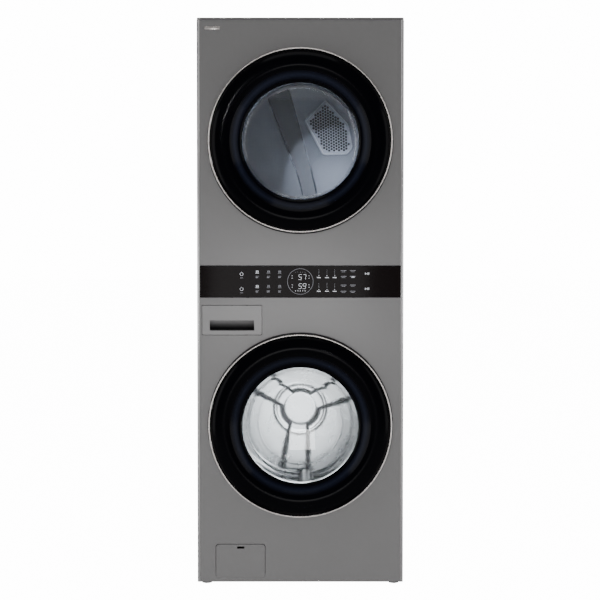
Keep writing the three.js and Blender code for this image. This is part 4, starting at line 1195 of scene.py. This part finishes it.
dryer_wall = finished("dryer_drum_wall", dryer_bm, "dryer_drum", dryer_sheet, "stainless_steel", "dryer_drum",
                      smooth=50)
thicken(dryer_wall, drum_steel)

slate_enamel = Finish("slate_enamel", Metallic=0.15, Coat_Weight=0.2, Coat_Roughness=0.25)
slate_cloud = slate_enamel.noise(4, 2.0)
slate_grain = slate_enamel.noise(900, 2.0)
slate_enamel.set(Base_Color=slate_enamel.blend(slate_cloud, (0.24, 0.255, 0.285), (0.31, 0.325, 0.36)))
slate_enamel.set(Roughness=0.45 + slate_grain * 0.1 + slate_cloud * 0.06)
slate_enamel.bump(slate_grain, 0.00003, 0.25)

band_enamel = grained("band_enamel", (4, 2.0), ((0.045, 0.05, 0.062), (0.065, 0.071, 0.086)), (0.42, 0.1),
                      (900, 2.0), Metallic=0.15, Coat_Weight=0.2, Coat_Roughness=0.25)

pan_y = rear_plate_high.y - 13 * mm
pan_radius = drum_wall_radius - 13 * mm


def at_pan(points):
    """Points about the drum's axis, in millimetres, as places on the pan."""
    return [(x * mm, dryer_z + z * mm) for x, z in points]


grille_outline = at_pan([(16, 117), (92, 197), (178, 108), (196, 20), (172, -8), (84, -8), (58, 42)])
band_outline = at_pan([
    (-42, 240), (-13, 142), (30, -20), (57, -130), (70, -205),
    (18, -215), (4, -133), (-16, -64), (-112, 176), (-126, 212),
])


def pushed_in(points, by):
    """An outline moved inwards by a distance, corner by corner."""
    centre_x = sum(x for x, _ in points) / len(points)
    centre_z = sum(z for _, z in points) / len(points)
    moved = []
    for (ax, az), (bx, bz), (cx, cz) in zip(points[-1:] + points[:-1], points, points[1:] + points[:1]):
        before, after = Vector((bx - ax, bz - az)).normalized(), Vector((cx - bx, cz - bz)).normalized()
        along = before + after
        inward = Vector((-along.y, along.x)).normalized()
        if inward.dot(Vector((centre_x - bx, centre_z - bz))) < 0:
            inward.negate()
        square = max(0.35, abs(Vector((-before.y, before.x)).dot(inward)))
        moved.append((bx + inward.x * by / square, bz + inward.y * by / square))
    return moved


def pressed_shape(outline, y, height, edge, corner):
    """A raised shape on the pan: an outline with round corners, drawn forward, with a rounded edge."""
    bm = bmesh.new()
    loop = outline_of(bm, [(x, y, z) for x, z in outline], corner, 5)
    bmesh.ops.contextual_create(bm, geom=loop)
    turn_outward(bm)
    extruded_edges(bm, [e for e in bm.edges if e.is_boundary], (0, 0, 0))
    top = max(bm.faces, key=lambda f: f.calc_area())
    bmesh.ops.translate(bm, verts=top.verts[:], vec=(0, -height, 0))
    rounded_off(bm, top.edges[:], edge, 5)
    return bm


pan_face = pan_y - 0.8 * mm
pan_bm = pierced(
    [disc(0, pan_face, dryer_z, pan_radius - 12 * mm),
     ([(x, pan_face, z) for x, z in pushed_in(grille_outline, 6 * mm)], 8 * mm, 4)]
)
turn_outward(pan_bm)
pan_rim = [e for e in pan_bm.edges if e.is_boundary
           and all(math.hypot(v.co.x, v.co.z - dryer_z) > pan_radius - 13 * mm for v in e.verts)]
rim_grown = bmesh.ops.extrude_edge_only(pan_bm, edges=pan_rim)["geom"]
for vert in [g for g in rim_grown if isinstance(g, bmesh.types.BMVert)]:
    spread = (pan_radius - 1 * mm) / (pan_radius - 12 * mm)
    vert.co = (vert.co.x * spread, pan_face + 12 * mm, dryer_z + (vert.co.z - dryer_z) * spread)
pan_piece = finished("rear_pan", turn_outward(pan_bm), "cabinet", slate_enamel,
                     "galvanised_steel", "dryer_rear_bulkhead", smooth=25)
thicken(pan_piece, 1.2 * mm)

plate_y = rear_plate_high.y - 0.8 * mm
plate_holes = [
    disc(0, plate_y, dryer_z, pan_radius - 2 * mm),
    disc(duct_x, plate_y, duct_z, duct_radius + 2 * mm, 48),
]
plate_span_x = (rear_plate_low.x, rear_plate_high.x)
plate_span_z = (rear_plate_low.z, rear_plate_high.z)
rear_wall_bm = pierced([oblong(plate_span_x, plate_y, plate_span_z, 4 * mm), *plate_holes])
rear_wall = finished("rear_wall_plate", turn_outward(rear_wall_bm), "cabinet", galvanised,
                     "galvanised_steel")
thicken(rear_wall, 1.2 * mm)

band_height = 7 * mm
band_bm = pressed_shape(band_outline, pan_face, band_height, 4 * mm, 9 * mm)
pan_band = finished("pan_band", band_bm, "cabinet", band_enamel, "galvanised_steel", smooth=50)
pan_band.modifiers.new("flat_faces", "WEIGHTED_NORMAL")
thicken(pan_band, 1 * mm)


def folded_lip(name, points, closed, height):
    """A thin bright fold that stands up along a line on the pan."""
    bm = bmesh.new()
    low = [bm.verts.new((x, pan_face, z)) for x, z in points]
    ends = low[1:] + low[:1] if closed else low[1:]
    edges = [bm.edges.new(pair) for pair in zip(low, ends)]
    extruded_edges(bm, edges, (0, -height, 0))
    bmesh.ops.recalc_face_normals(bm, faces=bm.faces[:])
    lip = finished(name, bm, "cabinet", dryer_sheet, "galvanised_steel", smooth=40)
    wall = lip.modifiers.new("wall", "SOLIDIFY")
    wall.thickness = 2.2 * mm
    wall.offset = 0


folded_lip("band_right_lip", band_outline[:4], False, band_height + 1.5 * mm)
folded_lip("band_left_lip", band_outline[6:9], False, band_height + 1.5 * mm)
folded_lip("grille_lip", pushed_in(grille_outline, 4 * mm), True, 8 * mm)

# The grille: a punched plate in a raised, rolled frame. Heated air comes through it from the box behind.
grille_y = pan_face - 2 * mm
grille_inner = pushed_in(grille_outline, 9 * mm)
hole_step = 10.5 * mm
grille_turn = math.radians(32)


def lies_inside(x, z, outline):
    """Whether a point is inside an outline, by the crossings of a ray."""
    crossings = 0
    for (ax, az), (bx, bz) in zip(outline, outline[1:] + outline[:1]):
        if (az > z) != (bz > z) and x < ax + (z - az) * (bx - ax) / (bz - az):
            crossings += 1
    return crossings % 2 == 1


grille_keep = pushed_in(grille_outline, 14 * mm)
grille_middle = (sum(x for x, _ in grille_outline) / len(grille_outline),
                 sum(z for _, z in grille_outline) / len(grille_outline))
grille_holes = []
for row in range(-14, 15):
    for column in range(-14, 15):
        u = (column + (0.5 if row % 2 else 0.0)) * hole_step
        v = row * hole_step * 0.87
        x = grille_middle[0] + u * math.cos(grille_turn) - v * math.sin(grille_turn)
        z = grille_middle[1] + u * math.sin(grille_turn) + v * math.cos(grille_turn)
        if lies_inside(x, z, grille_keep):
            grille_holes.append(disc(x, grille_y, z, 4.5 * mm, 10))
grille_bm = pierced([([(x, grille_y, z) for x, z in grille_inner], 8 * mm, 4), *grille_holes])
grille = finished("air_grille", turn_outward(grille_bm), "cabinet", slate_enamel,
                  "galvanised_steel")
thicken(grille, 1.2 * mm, 0.4 * mm)
# Painted shade: a black sheet close behind the grille, so that its holes read dark like the deep box behind
# them.
shade_sheet_bm = pierced([([(x, pan_face + 9 * mm, z) for x, z in grille_inner], 8 * mm, 4)])
shade_sheet = finished("grille_shade_sheet", turn_outward(shade_sheet_bm), "cabinet", moulded_black,
                  "galvanised_steel")
thicken(shade_sheet, 1 * mm)

frame_bm = pierced(
    [([(x, pan_face, z) for x, z in pushed_in(grille_outline, -2 * mm)], 12 * mm, 5),
     ([(x, pan_face, z) for x, z in pushed_in(grille_outline, 9 * mm)], 8 * mm, 5)]
)
turn_outward(frame_bm)
rolled = bmesh.ops.extrude_face_region(frame_bm, geom=frame_bm.faces[:])["geom"]
bmesh.ops.translate(frame_bm, verts=[g for g in rolled if isinstance(g, bmesh.types.BMVert)],
                    vec=(0, -6.5 * mm, 0))
bmesh.ops.recalc_face_normals(frame_bm, faces=frame_bm.faces[:])
grille_frame = finished("grille_frame", frame_bm, "cabinet", slate_enamel, "galvanised_steel", smooth=50)
soften(grille_frame, 3 * mm, 4, 50)

throat_radius = port_radius - 1 * mm
throat_wall = 1.5 * mm
throat_front = front_y + 1.5 * mm
front_wall_y = front_y + 75 * mm
filter_low, filter_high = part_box("lint_filter")
throat_path = [
    (throat_radius, throat_front),
    (throat_radius + throat_wall, throat_front),
    (throat_radius + throat_wall, front_wall_y),
    (throat_radius, front_wall_y),
]
throat_bm = spun_about(dryer_z, throat_path, 128)
filter_slot = add_block(
    bmesh.new(),
    widened(filter_low.x, filter_high.x, 2 * mm),
    widened(filter_low.y, filter_high.y, 1 * mm),
    (dryer_z - throat_radius - 8 * mm, dryer_z - throat_radius / 2),
)
finished("dryer_throat", carved(throat_bm, filter_slot), "cabinet", slate_enamel, "galvanised_steel",
         "dryer_front_bulkhead", smooth=40)
front_wall_bm = pierced(
    [oblong((front_plate_low.x, front_plate_high.x), front_wall_y, (front_plate_low.z, front_plate_high.z),
            4 * mm),
     disc(0, front_wall_y, dryer_z, throat_radius + 0.2 * mm),
     disc(duct_x, front_wall_y, duct_z, duct_radius + 2 * mm, 48)]
)
front_wall = finished("front_wall_plate", turn_outward(front_wall_bm), "cabinet",
                      galvanised, "galvanised_steel")
thicken(front_wall, 1.2 * mm)
hoop_radius = drum_wall_radius - 18 * mm
hoop_path = [(hoop_radius, front_wall_y + 0.8 * mm), (hoop_radius, front_plate_high.y)]
hoop = finished("drum_hoop", spun_about(dryer_z, hoop_path, 128, closed=False), "cabinet", galvanised,
                "galvanised_steel")
thicken(hoop, 1.4 * mm)

# ---------------------------------------------------------------- lint filter
# A grey moulded frame with a fine woven screen. It lifts out of the throat by its tab.

screen_mesh = Finish("lint_screen", Metallic=0.3)
weave_u = screen_mesh.node("ShaderNodeTexWave", {"bands_direction": "X"},
                           {"Vector": screen_mesh.place, "Scale": 320.0})
weave_v = screen_mesh.node("ShaderNodeTexWave", {"bands_direction": "Z"},
                           {"Vector": screen_mesh.place, "Scale": 320.0})
weave = weave_u * weave_v
screen_mesh.set(Base_Color=screen_mesh.blend(weave, (0.05, 0.05, 0.055), (0.32, 0.33, 0.35)))
screen_mesh.set(Roughness=0.5 + weave * 0.15)
screen_mesh.bump(weave, 0.0002, 0.6)

filter_mid = (filter_low.y + filter_high.y) / 2
bar_depth = (filter_mid - 5 * mm, filter_mid + 5 * mm)
filter_top = dryer_z - throat_radius - 4 * mm
filter_bm = bmesh.new()
side_bar = 10 * mm
thin_bar_pitch = 49 * mm
filter_height = (filter_low.z, filter_top)
for x in (filter_low.x, filter_high.x - side_bar):
    add_block(filter_bm, (x, x + side_bar), bar_depth, filter_height, 2 * mm)
cross = widened(filter_low.x, filter_high.x, -6 * mm)
for z in (filter_low.z, filter_low.z + 26 * mm, filter_top - side_bar):
    add_block(filter_bm, cross, bar_depth, (z, z + side_bar), 2 * mm)
for x in (-thin_bar_pitch, 0, thin_bar_pitch):
    add_block(filter_bm, (x - 1.5 * mm, x + 1.5 * mm), bar_depth, filter_height, 0.6 * mm)
tab_depth = (filter_mid - 4 * mm, filter_mid + 4 * mm)
add_block(filter_bm, (-32 * mm, 32 * mm), tab_depth, (filter_top - 4 * mm, dryer_z - throat_radius + 18 * mm),
          2.5 * mm)
add_block(filter_bm, (-24 * mm, 24 * mm), (filter_mid - 6 * mm, filter_mid + 6 * mm),
          (dryer_z - throat_radius + 10 * mm, dryer_z - throat_radius + 14 * mm), 1.6 * mm)
finished("lint_filter_frame", filter_bm, "lint_filter", lifter_moulding, "grey_plastic", "lint_filter",
         smooth=45)
screen_bm = bmesh.new()
add_block(screen_bm, (filter_low.x + 8 * mm, filter_high.x - 8 * mm),
          (filter_mid - 0.5 * mm, filter_mid + 0.5 * mm), (filter_low.z + 8 * mm, filter_top - 8 * mm))
finished("lint_screen", screen_bm, "lint_filter", screen_mesh, "grey_plastic")

# ---------------------------------------------------------------- detergent drawer
# A flat enamel-coloured moulding with a sloping scoop for the fingers, coloured with painted shade: grey near
# the face, darkening to black at its deep bottom. It is clipped to a pale tray that slides in a pale housing
# behind the washer's front.

drawer_enamel = Finish("drawer_enamel", Metallic=0.5, Coat_Weight=0.25, Coat_Roughness=0.18)
drawer_grain = drawer_enamel.noise(1900, 1.0)
drawer_cloud = drawer_enamel.noise(6, 2.0)
drawer_enamel.set(Base_Color=drawer_enamel.blend(drawer_grain, (0.285, 0.28, 0.283), (0.33, 0.325, 0.327)))
drawer_enamel.set(Roughness=0.34 + drawer_cloud * 0.08)
drawer_enamel.bump(drawer_enamel.noise(800, 2.0), 0.00003, 0.3)

grip_x = (drawer_low.x + 25 * mm, drawer_high.x - 26 * mm)
grip_z = (drawer_low.z + 15 * mm, drawer_low.z + 48 * mm)
face_x, face_z = (drawer_low.x, drawer_high.x), (drawer_low.z, drawer_high.z)
face_y = drawer_low.y
drawer_bm = pierced([oblong(face_x, face_y, face_z, 3 * mm), oblong(grip_x, face_y, grip_z, 2.5 * mm)])
drawer_face = finished("drawer_face", turn_outward(drawer_bm), "detergent_drawer",
                       drawer_enamel, "graphite_steel", "drawer_front")
thicken(drawer_face, 5.5 * mm, 0.9 * mm, 3)

# The scoop's colour is painted shade: grey near the face, darkening to black towards the deep bottom of the
# scoop.
scoop_painted_shade = Finish("drawer_scoop", Specular_IOR_Level=0.4)
scoop_place = scoop_painted_shade.node("ShaderNodeSeparateXYZ", inputs={"Vector": scoop_painted_shade.place}, out="Z")
scoop_rise = (scoop_place - grip_z[0]) / (grip_z[1] - grip_z[0])
scoop_grain = scoop_painted_shade.noise(900, 2.0)
scoop_shade_tone = scoop_painted_shade.blend(scoop_grain, (0.008, 0.008, 0.009), (0.012, 0.012, 0.013))
scoop_shade_ramp = scoop_painted_shade.node(
    "ShaderNodeValToRGB",
    {"stops": [(0.25, (0, 0, 0, 1)), (0.55, (0.25, 0.25, 0.25, 1)), (1.0, (1, 1, 1, 1))]},
    {"Fac": scoop_rise},
)
scoop_painted_shade.set(Base_Color=scoop_painted_shade.blend(scoop_shade_ramp, scoop_shade_tone, (0.26, 0.255, 0.258)))
scoop_painted_shade.set(Roughness=0.38 + scoop_grain * 0.1)
scoop_painted_shade.bump(scoop_grain, 0.00004, 0.3)

scoop_bm = bmesh.new()
scoop_depth = 20 * mm
slope = [
    (0.0, 1.0), (0.12, 0.97), (0.3, 0.82), (0.62, 0.45),
    (0.88, 0.16), (1.0, 0.05), (1.0, 0.0), (0.0, 0.0),
]
rails = []
for x in grip_x:
    rails.append([
        scoop_bm.verts.new((x, face_y + depth * scoop_depth, grip_z[0] + rise * (grip_z[1] - grip_z[0])))
        for depth, rise in slope
    ])
for (a, b), (c, d) in zip(zip(rails[0], rails[0][1:]), zip(rails[1], rails[1][1:])):
    scoop_bm.faces.new((a, b, d, c))
for rail in rails:
    scoop_bm.faces.new(rail)
drawer_scoop = finished("drawer_scoop", turn_outward(scoop_bm), "detergent_drawer",
                        scoop_painted_shade, "black_plastic", smooth=25)
thicken(drawer_scoop, 1.5 * mm)
refined("drawer_tray", "dispenser_tray", "detergent_drawer", pale_moulding, "pale_plastic", 0.8 * mm)

tray_low, tray_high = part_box("dispenser_tray")
siphon_bm = bmesh.new()
siphon_x = (tray_low.x + 20 * mm, tray_low.x + 60 * mm)
siphon_z = (tray_high.z - 30 * mm, tray_high.z - 27 * mm)
grip_bar_pitch = 9 * mm
grip_bar_z = (tray_high.z - 27.5 * mm, tray_high.z - 25.5 * mm)
add_block(siphon_bm, siphon_x, (tray_high.y - 90 * mm, tray_high.y - 40 * mm), siphon_z, 1 * mm)
for step in range(5):
    bar_y = tray_high.y - 84 * mm + step * grip_bar_pitch
    add_block(siphon_bm, widened(*siphon_x, -5 * mm), (bar_y, bar_y + 2.5 * mm), grip_bar_z, 0.6 * mm)
add_block(siphon_bm, (tray_low.x + 2 * mm, siphon_x[0] + 1 * mm),
          (tray_high.y - 76 * mm, tray_high.y - 56 * mm), siphon_z, 0.6 * mm)
finished("softener_lid", siphon_bm, "detergent_drawer", lifter_moulding, "grey_plastic", smooth=45)
refined("drawer_housing", "dispenser_housing", "cabinet", pale_moulding, "pale_plastic", 0.8 * mm)

# ---------------------------------------------------------------- service flap and pump filter
# A small enamelled flap with a dark finger notch. It drops forward on two pins and shows the cap of the
# pump's filter: a black moulding with a grip bar and a ribbed rim.

refined("service_flap", "service_cover", "service_cover", enamel, "graphite_steel", 0.7 * mm, 3)
cap_low, cap_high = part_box("pump_filter_cap")
cap_x, cap_z = (cap_low.x + cap_high.x) / 2, (cap_low.z + cap_high.z) / 2
cap_radius = (cap_high.z - cap_low.z) / 2
refined("filter_cap", "pump_filter_cap", "pump_filter_cap", moulded_black, "black_plastic", 1 * mm, 3)
ribs_bm = bmesh.new()
rib_count = 36
rib_out = (cap_radius - 1.2 * mm, cap_radius + 0.5 * mm)
rib_y = (cap_high.y - 11 * mm, cap_high.y - 3 * mm)
rib_half = 1.1 * mm
for rib in range(rib_count):
    before = len(ribs_bm.verts)
    add_block(ribs_bm, rib_out, rib_y, (-rib_half, rib_half))
    turn = Matrix.Translation((cap_x, 0, cap_z)) @ Matrix.Rotation(2 * math.pi * rib / rib_count, 4, "Y")
    ribs_bm.verts.ensure_lookup_table()
    bmesh.ops.transform(ribs_bm, matrix=turn, verts=ribs_bm.verts[before:])
finished("filter_cap_ribs", ribs_bm, "pump_filter_cap", moulded_black, "black_plastic", smooth=40)

# ---------------------------------------------------------------- levelling feet
# Each foot is a black rubber pad moulded on a zinc-plated hexagon, with a screw thread up into the base.

pad_rubber = grained("pad_rubber", (60, 4.0), ((0.012, 0.012, 0.012), (0.026, 0.026, 0.027)), (0.6, 0.2),
                     (900, 2.0), 0.00008, 0.4, Specular_IOR_Level=0.35)
pad_radius = 18 * mm
pad_height = 9 * mm
nut_radius = 9 * mm
stem_radius = 5 * mm
thread_pitch = 1.75 * mm


def turned_upright(x, y, profile, steps=48):
    """A closed profile of (radius, z) turned about an upright axis."""
    bm = bmesh.new()
    verts = [bm.verts.new((x + r, y, z)) for r, z in profile]
    edges = [bm.edges.new(pair) for pair in zip(verts, verts[1:])]
    bmesh.ops.spin(bm, geom=verts + edges, cent=(x, y, 0), axis=(0, 0, 1), angle=2 * math.pi, steps=steps,
                   use_merge=True)
    bmesh.ops.remove_doubles(bm, verts=bm.verts[:], dist=1e-6)
    bmesh.ops.recalc_face_normals(bm, faces=bm.faces[:])
    return bm


for end in ("front", "rear"):
    for side in ("left", "right"):
        node = f"foot_{end}_{side}"
        foot_low, foot_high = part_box(node)
        foot_x, foot_y = (foot_low.x + foot_high.x) / 2, (foot_low.y + foot_high.y) / 2
        ground = foot_low.z
        pad_profile = [
            (0, ground), (pad_radius - 3 * mm, ground), (pad_radius - 1 * mm, ground + 0.8 * mm),
            (pad_radius, ground + 3 * mm), (pad_radius - 0.6 * mm, ground + 6 * mm),
            (pad_radius - 3 * mm, ground + 8.2 * mm), (pad_radius - 6 * mm, ground + pad_height),
            (0, ground + pad_height),
        ]
        finished(f"{node}_pad", turned_upright(foot_x, foot_y, pad_profile), node, pad_rubber,
                 "black_rubber", node, smooth=50)
        nut_top = ground + pad_height + 8 * mm
        stem_bm = bmesh.new()
        nut = bmesh.ops.create_cone(
            stem_bm, cap_ends=True, segments=6, radius1=nut_radius, radius2=nut_radius, depth=8 * mm,
            matrix=Matrix.Translation((foot_x, foot_y, nut_top - 4 * mm)),
        )["verts"]
        rounded_off(stem_bm, list({e for vert in nut for e in vert.link_edges}), 0.7 * mm, 2)
        thread = [(0, nut_top - 1 * mm), (stem_radius - 0.5 * mm, nut_top - 1 * mm)]
        turns = int((foot_high.z - nut_top) / thread_pitch)
        for turn in range(turns):
            z = nut_top + turn * thread_pitch
            thread += [(stem_radius - 0.6 * mm, z + 0.3 * mm), (stem_radius, z + thread_pitch / 2)]
        thread += [(stem_radius - 0.8 * mm, foot_high.z), (0, foot_high.z)]
        merge_in(stem_bm, turned_upright(foot_x, foot_y, thread, 24))
        finished(f"{node}_stem", stem_bm, node, galvanised, "galvanised_steel", smooth=40)

# ---------------------------------------------------------------- rear of the cabinet
# The service opening has a screwed plate with pressed ribs. Round it are the exhaust outlet with its bead,
# the two threaded water inlets, and a plain cover over the power terminals.

plate_face = access_high.y
access_span_x, access_span_z = (access_low.x, access_high.x), (access_low.z, access_high.z)
access_bm = pierced([oblong(access_span_x, plate_face, access_span_z, 8 * mm)])
access_plate = finished("service_plate", turn_outward(access_bm, Vector((0, 1, 0))), "cabinet", galvanised,
                        "galvanised_steel", "rear_access_panel")
thicken(access_plate, 1.1 * mm, 0.3 * mm)


def raised_rear(bm, x, z, height, corner, edge, y):
    """A pressed oblong that stands out from the rear wall."""
    part = bmesh.new()
    loop = outline_of(part, *oblong(x, y, z, corner, 5))
    bmesh.ops.contextual_create(part, geom=loop)
    turn_outward(part, Vector((0, 1, 0)))
    grown = bmesh.ops.extrude_face_region(part, geom=part.faces[:])["geom"]
    bmesh.ops.translate(part, verts=[g for g in grown if isinstance(g, bmesh.types.BMVert)],
                        vec=(0, height, 0))
    crest = [e for e in part.edges if all(v.co.y > y + height * 0.9 for v in e.verts)]
    rounded_off(part, crest, edge, 4)
    bmesh.ops.recalc_face_normals(part, faces=part.faces[:])
    merge_in(bm, part)


rib_bm = bmesh.new()
rib_width = 26 * mm
rib_pitch = 96 * mm
rib_z = access_low.z + 110 * mm
while rib_z < access_high.z - 100 * mm:
    raised_rear(rib_bm, widened(*access_span_x, -70 * mm), (rib_z, rib_z + rib_width), 3 * mm, 12.5 * mm,
                2.4 * mm, plate_face)
    rib_z += rib_pitch
finished("service_plate_ribs", rib_bm, "cabinet", galvanised, "galvanised_steel", smooth=50)

terminal_x, terminal_z = (-250 * mm, -130 * mm), (1120 * mm, 1210 * mm)
terminal_bm = bmesh.new()
raised_rear(terminal_bm, terminal_x, terminal_z, 12 * mm, 6 * mm, 3 * mm, rear_y)
finished("terminal_cover", terminal_bm, "cabinet", galvanised, "galvanised_steel", smooth=45)
grommet_path = [(9 * mm, rear_y + 11 * mm), (17 * mm, rear_y + 11 * mm), (17 * mm, rear_y + 15 * mm),
                (9 * mm, rear_y + 15 * mm)]
grommet_bm = spun_about(terminal_z[0] + 34 * mm, grommet_path, 48, rounded=(2, 3), radius=1.6 * mm)
bmesh.ops.translate(grommet_bm, verts=grommet_bm.verts[:], vec=((terminal_x[0] + terminal_x[1]) / 2, 0, 0))
finished("terminal_grommet", grommet_bm, "cabinet", pad_rubber, "black_rubber", smooth=50)

screw_steel = grained("screw_steel", (300, 3.0), ((0.5, 0.5, 0.49), (0.68, 0.68, 0.66)), (0.3, 0.15),
                      depth=0, Metallic=1.0)
head_radius = 4.2 * mm
plate_screw_heights = (150, 384, 616, 850)
seam_screw_heights = (60, 500, 940, 1300, 1600, 1850)
rear_screws = []
for x in widened(*access_span_x, -10 * mm):
    rear_screws += [(x, z * mm, plate_face) for z in plate_screw_heights]
for x in (-96 * mm, 96 * mm):
    rear_screws += [(x, z, plate_face) for z in widened(*access_span_z, -10 * mm)]
for x in widened(*terminal_x, -12 * mm):
    rear_screws.append((x, terminal_z[1] + 7 * mm, rear_y))
for x in widened(-half_width, half_width, -14 * mm):
    rear_screws += [(x, z * mm, rear_y) for z in seam_screw_heights]
screw_bm = bmesh.new()
for x, z, y in rear_screws:
    head = Matrix.Translation((x, y + 1.4 * mm, z)) @ Matrix.Rotation(math.pi / 2, 4, "X")
    flange = Matrix.Translation((x, y + 0.4 * mm, z)) @ Matrix.Rotation(math.pi / 2, 4, "X")
    bmesh.ops.create_cone(screw_bm, cap_ends=True, segments=6, radius1=head_radius * 0.86,
                          radius2=head_radius * 0.96, depth=2.8 * mm, matrix=head)
    bmesh.ops.create_cone(screw_bm, cap_ends=True, segments=20, radius1=head_radius * 1.35,
                          radius2=head_radius * 1.45, depth=0.8 * mm, matrix=flange)
finished("rear_screws", screw_bm, "cabinet", screw_steel, "galvanised_steel", smooth=30)

coat(galvanised, "exhaust_duct")
bead_path = [(duct_radius - 0.4 * mm, duct_high.y - 12 * mm), (duct_radius + 1.6 * mm, duct_high.y - 10 * mm),
             (duct_radius + 1.6 * mm, duct_high.y - 8 * mm), (duct_radius - 0.4 * mm, duct_high.y - 6 * mm)]
bead_bm = spun_about(duct_z, bead_path, 64, rounded=(1, 2), radius=0.8 * mm)
bmesh.ops.translate(bead_bm, verts=bead_bm.verts[:], vec=(duct_x, 0, 0))
finished("exhaust_bead", bead_bm, "cabinet", galvanised, "galvanised_steel", smooth=60)

refined("valve_block", "inlet_valves", "cabinet", pale_moulding, "pale_plastic", 0.6 * mm)
valve_tail = inlet_high.y
thread_end, thread_root, thread_crest = 12.6 * mm, 12.8 * mm, 14.2 * mm
inlet_pitch = 2.4 * mm
for name, x in zip(("left", "right"), inlet_ports):
    thread_path = [(thread_end, valve_tail - 17 * mm)]
    for turn in range(6):
        y = valve_tail - 16.5 * mm + turn * inlet_pitch
        thread_path += [(thread_root, y), (thread_crest, y + 0.9 * mm)]
        thread_path += [(thread_crest, y + 1.3 * mm), (thread_root, y + 2.2 * mm)]
    thread_path += [(thread_end, valve_tail - 1.6 * mm)]
    inlet_bm = spun_about(inlet_z, thread_path, 40, closed=False)
    bmesh.ops.translate(inlet_bm, verts=inlet_bm.verts[:], vec=(x, 0, 0))
    face_axis(inlet_bm, x, inlet_z, inwards=False)
    inlet_thread = finished(f"{name}_inlet_thread", inlet_bm, "cabinet", pale_moulding, "pale_plastic",
                            smooth=40)
    thicken(inlet_thread, 0.8 * mm)

# ---------------------------------------------------------------- badge
# A small plain bar stuck to the dryer's front, at the upper left.

badge_x, badge_z = (-317 * mm, -266 * mm), (1849 * mm, 1859 * mm)
badge_bm = add_block(bmesh.new(), badge_x, (front_y - 1.0 * mm, front_y + 0.2 * mm), badge_z, 0.5 * mm)
finished("plain_badge", badge_bm, "cabinet", trim_metal, "trim_chrome", smooth=40)

# ---------------------------------------------------------------- parts inside the cabinet
# The base and the deck are galvanised pressings, the motor parts are cast, the tub hangs on wire springs, and
# the air parts are grey mouldings. They keep the shapes of their CAD, with broken edges where they can.

cast_aluminium = grained("cast_aluminium", (140, 5.0), ((0.42, 0.43, 0.44), (0.56, 0.57, 0.58)),
                         (0.45, 0.2), None, 0.0003, 0.4, Metallic=0.9)
spring_wire = grained("spring_wire", (80, 3.0), ((0.16, 0.16, 0.17), (0.26, 0.26, 0.27)), (0.3, 0.15),
                      (400, 2.0), 0.00004, 0.3, Metallic=1.0)
grey_moulding = grained("grey_moulding", (18, 4.0), ((0.24, 0.245, 0.25), (0.31, 0.315, 0.32)), (0.4, 0.14),
                        (600, 2.0), 0.00004, Specular_IOR_Level=0.45)

refined("base_tray", "base_pan", "cabinet", galvanised, "galvanised_steel", 0.6 * mm)
refined("deck_shelf", "middle_deck", "cabinet", galvanised, "galvanised_steel", 0.6 * mm)
refined("heater_box", "heater_housing", "cabinet", galvanised, "galvanised_steel", 0.6 * mm)
refined("blower_scroll", "blower_housing", "cabinet", grey_moulding, "grey_plastic", 1 * mm)
refined("pump_body", "drain_pump", "cabinet", grey_moulding, "grey_plastic", 0.8 * mm)
refined("rotor_cup", "motor_rotor", "washer_drum", cast_aluminium, "cast_aluminium", 0.8 * mm)
refined("drum_arms", "drum_spider", "washer_drum", cast_aluminium, "cast_aluminium", 1.2 * mm)
refined("dryer_motor_case", "dryer_motor", "cabinet", cast_aluminium, "cast_aluminium", 1 * mm)
refined("idler_wheel", "idler_pulley", "idler", grey_moulding, "grey_plastic", 0.6 * mm)
coat(cast_aluminium, "motor_stator")
coat(spring_wire, "spring_left", "spring_right")
coat(grey_moulding, "damper_left", "damper_right", "blower_wheel")
coat(pad_rubber, "drive_belt", "drum_roller_left", "drum_roller_right")
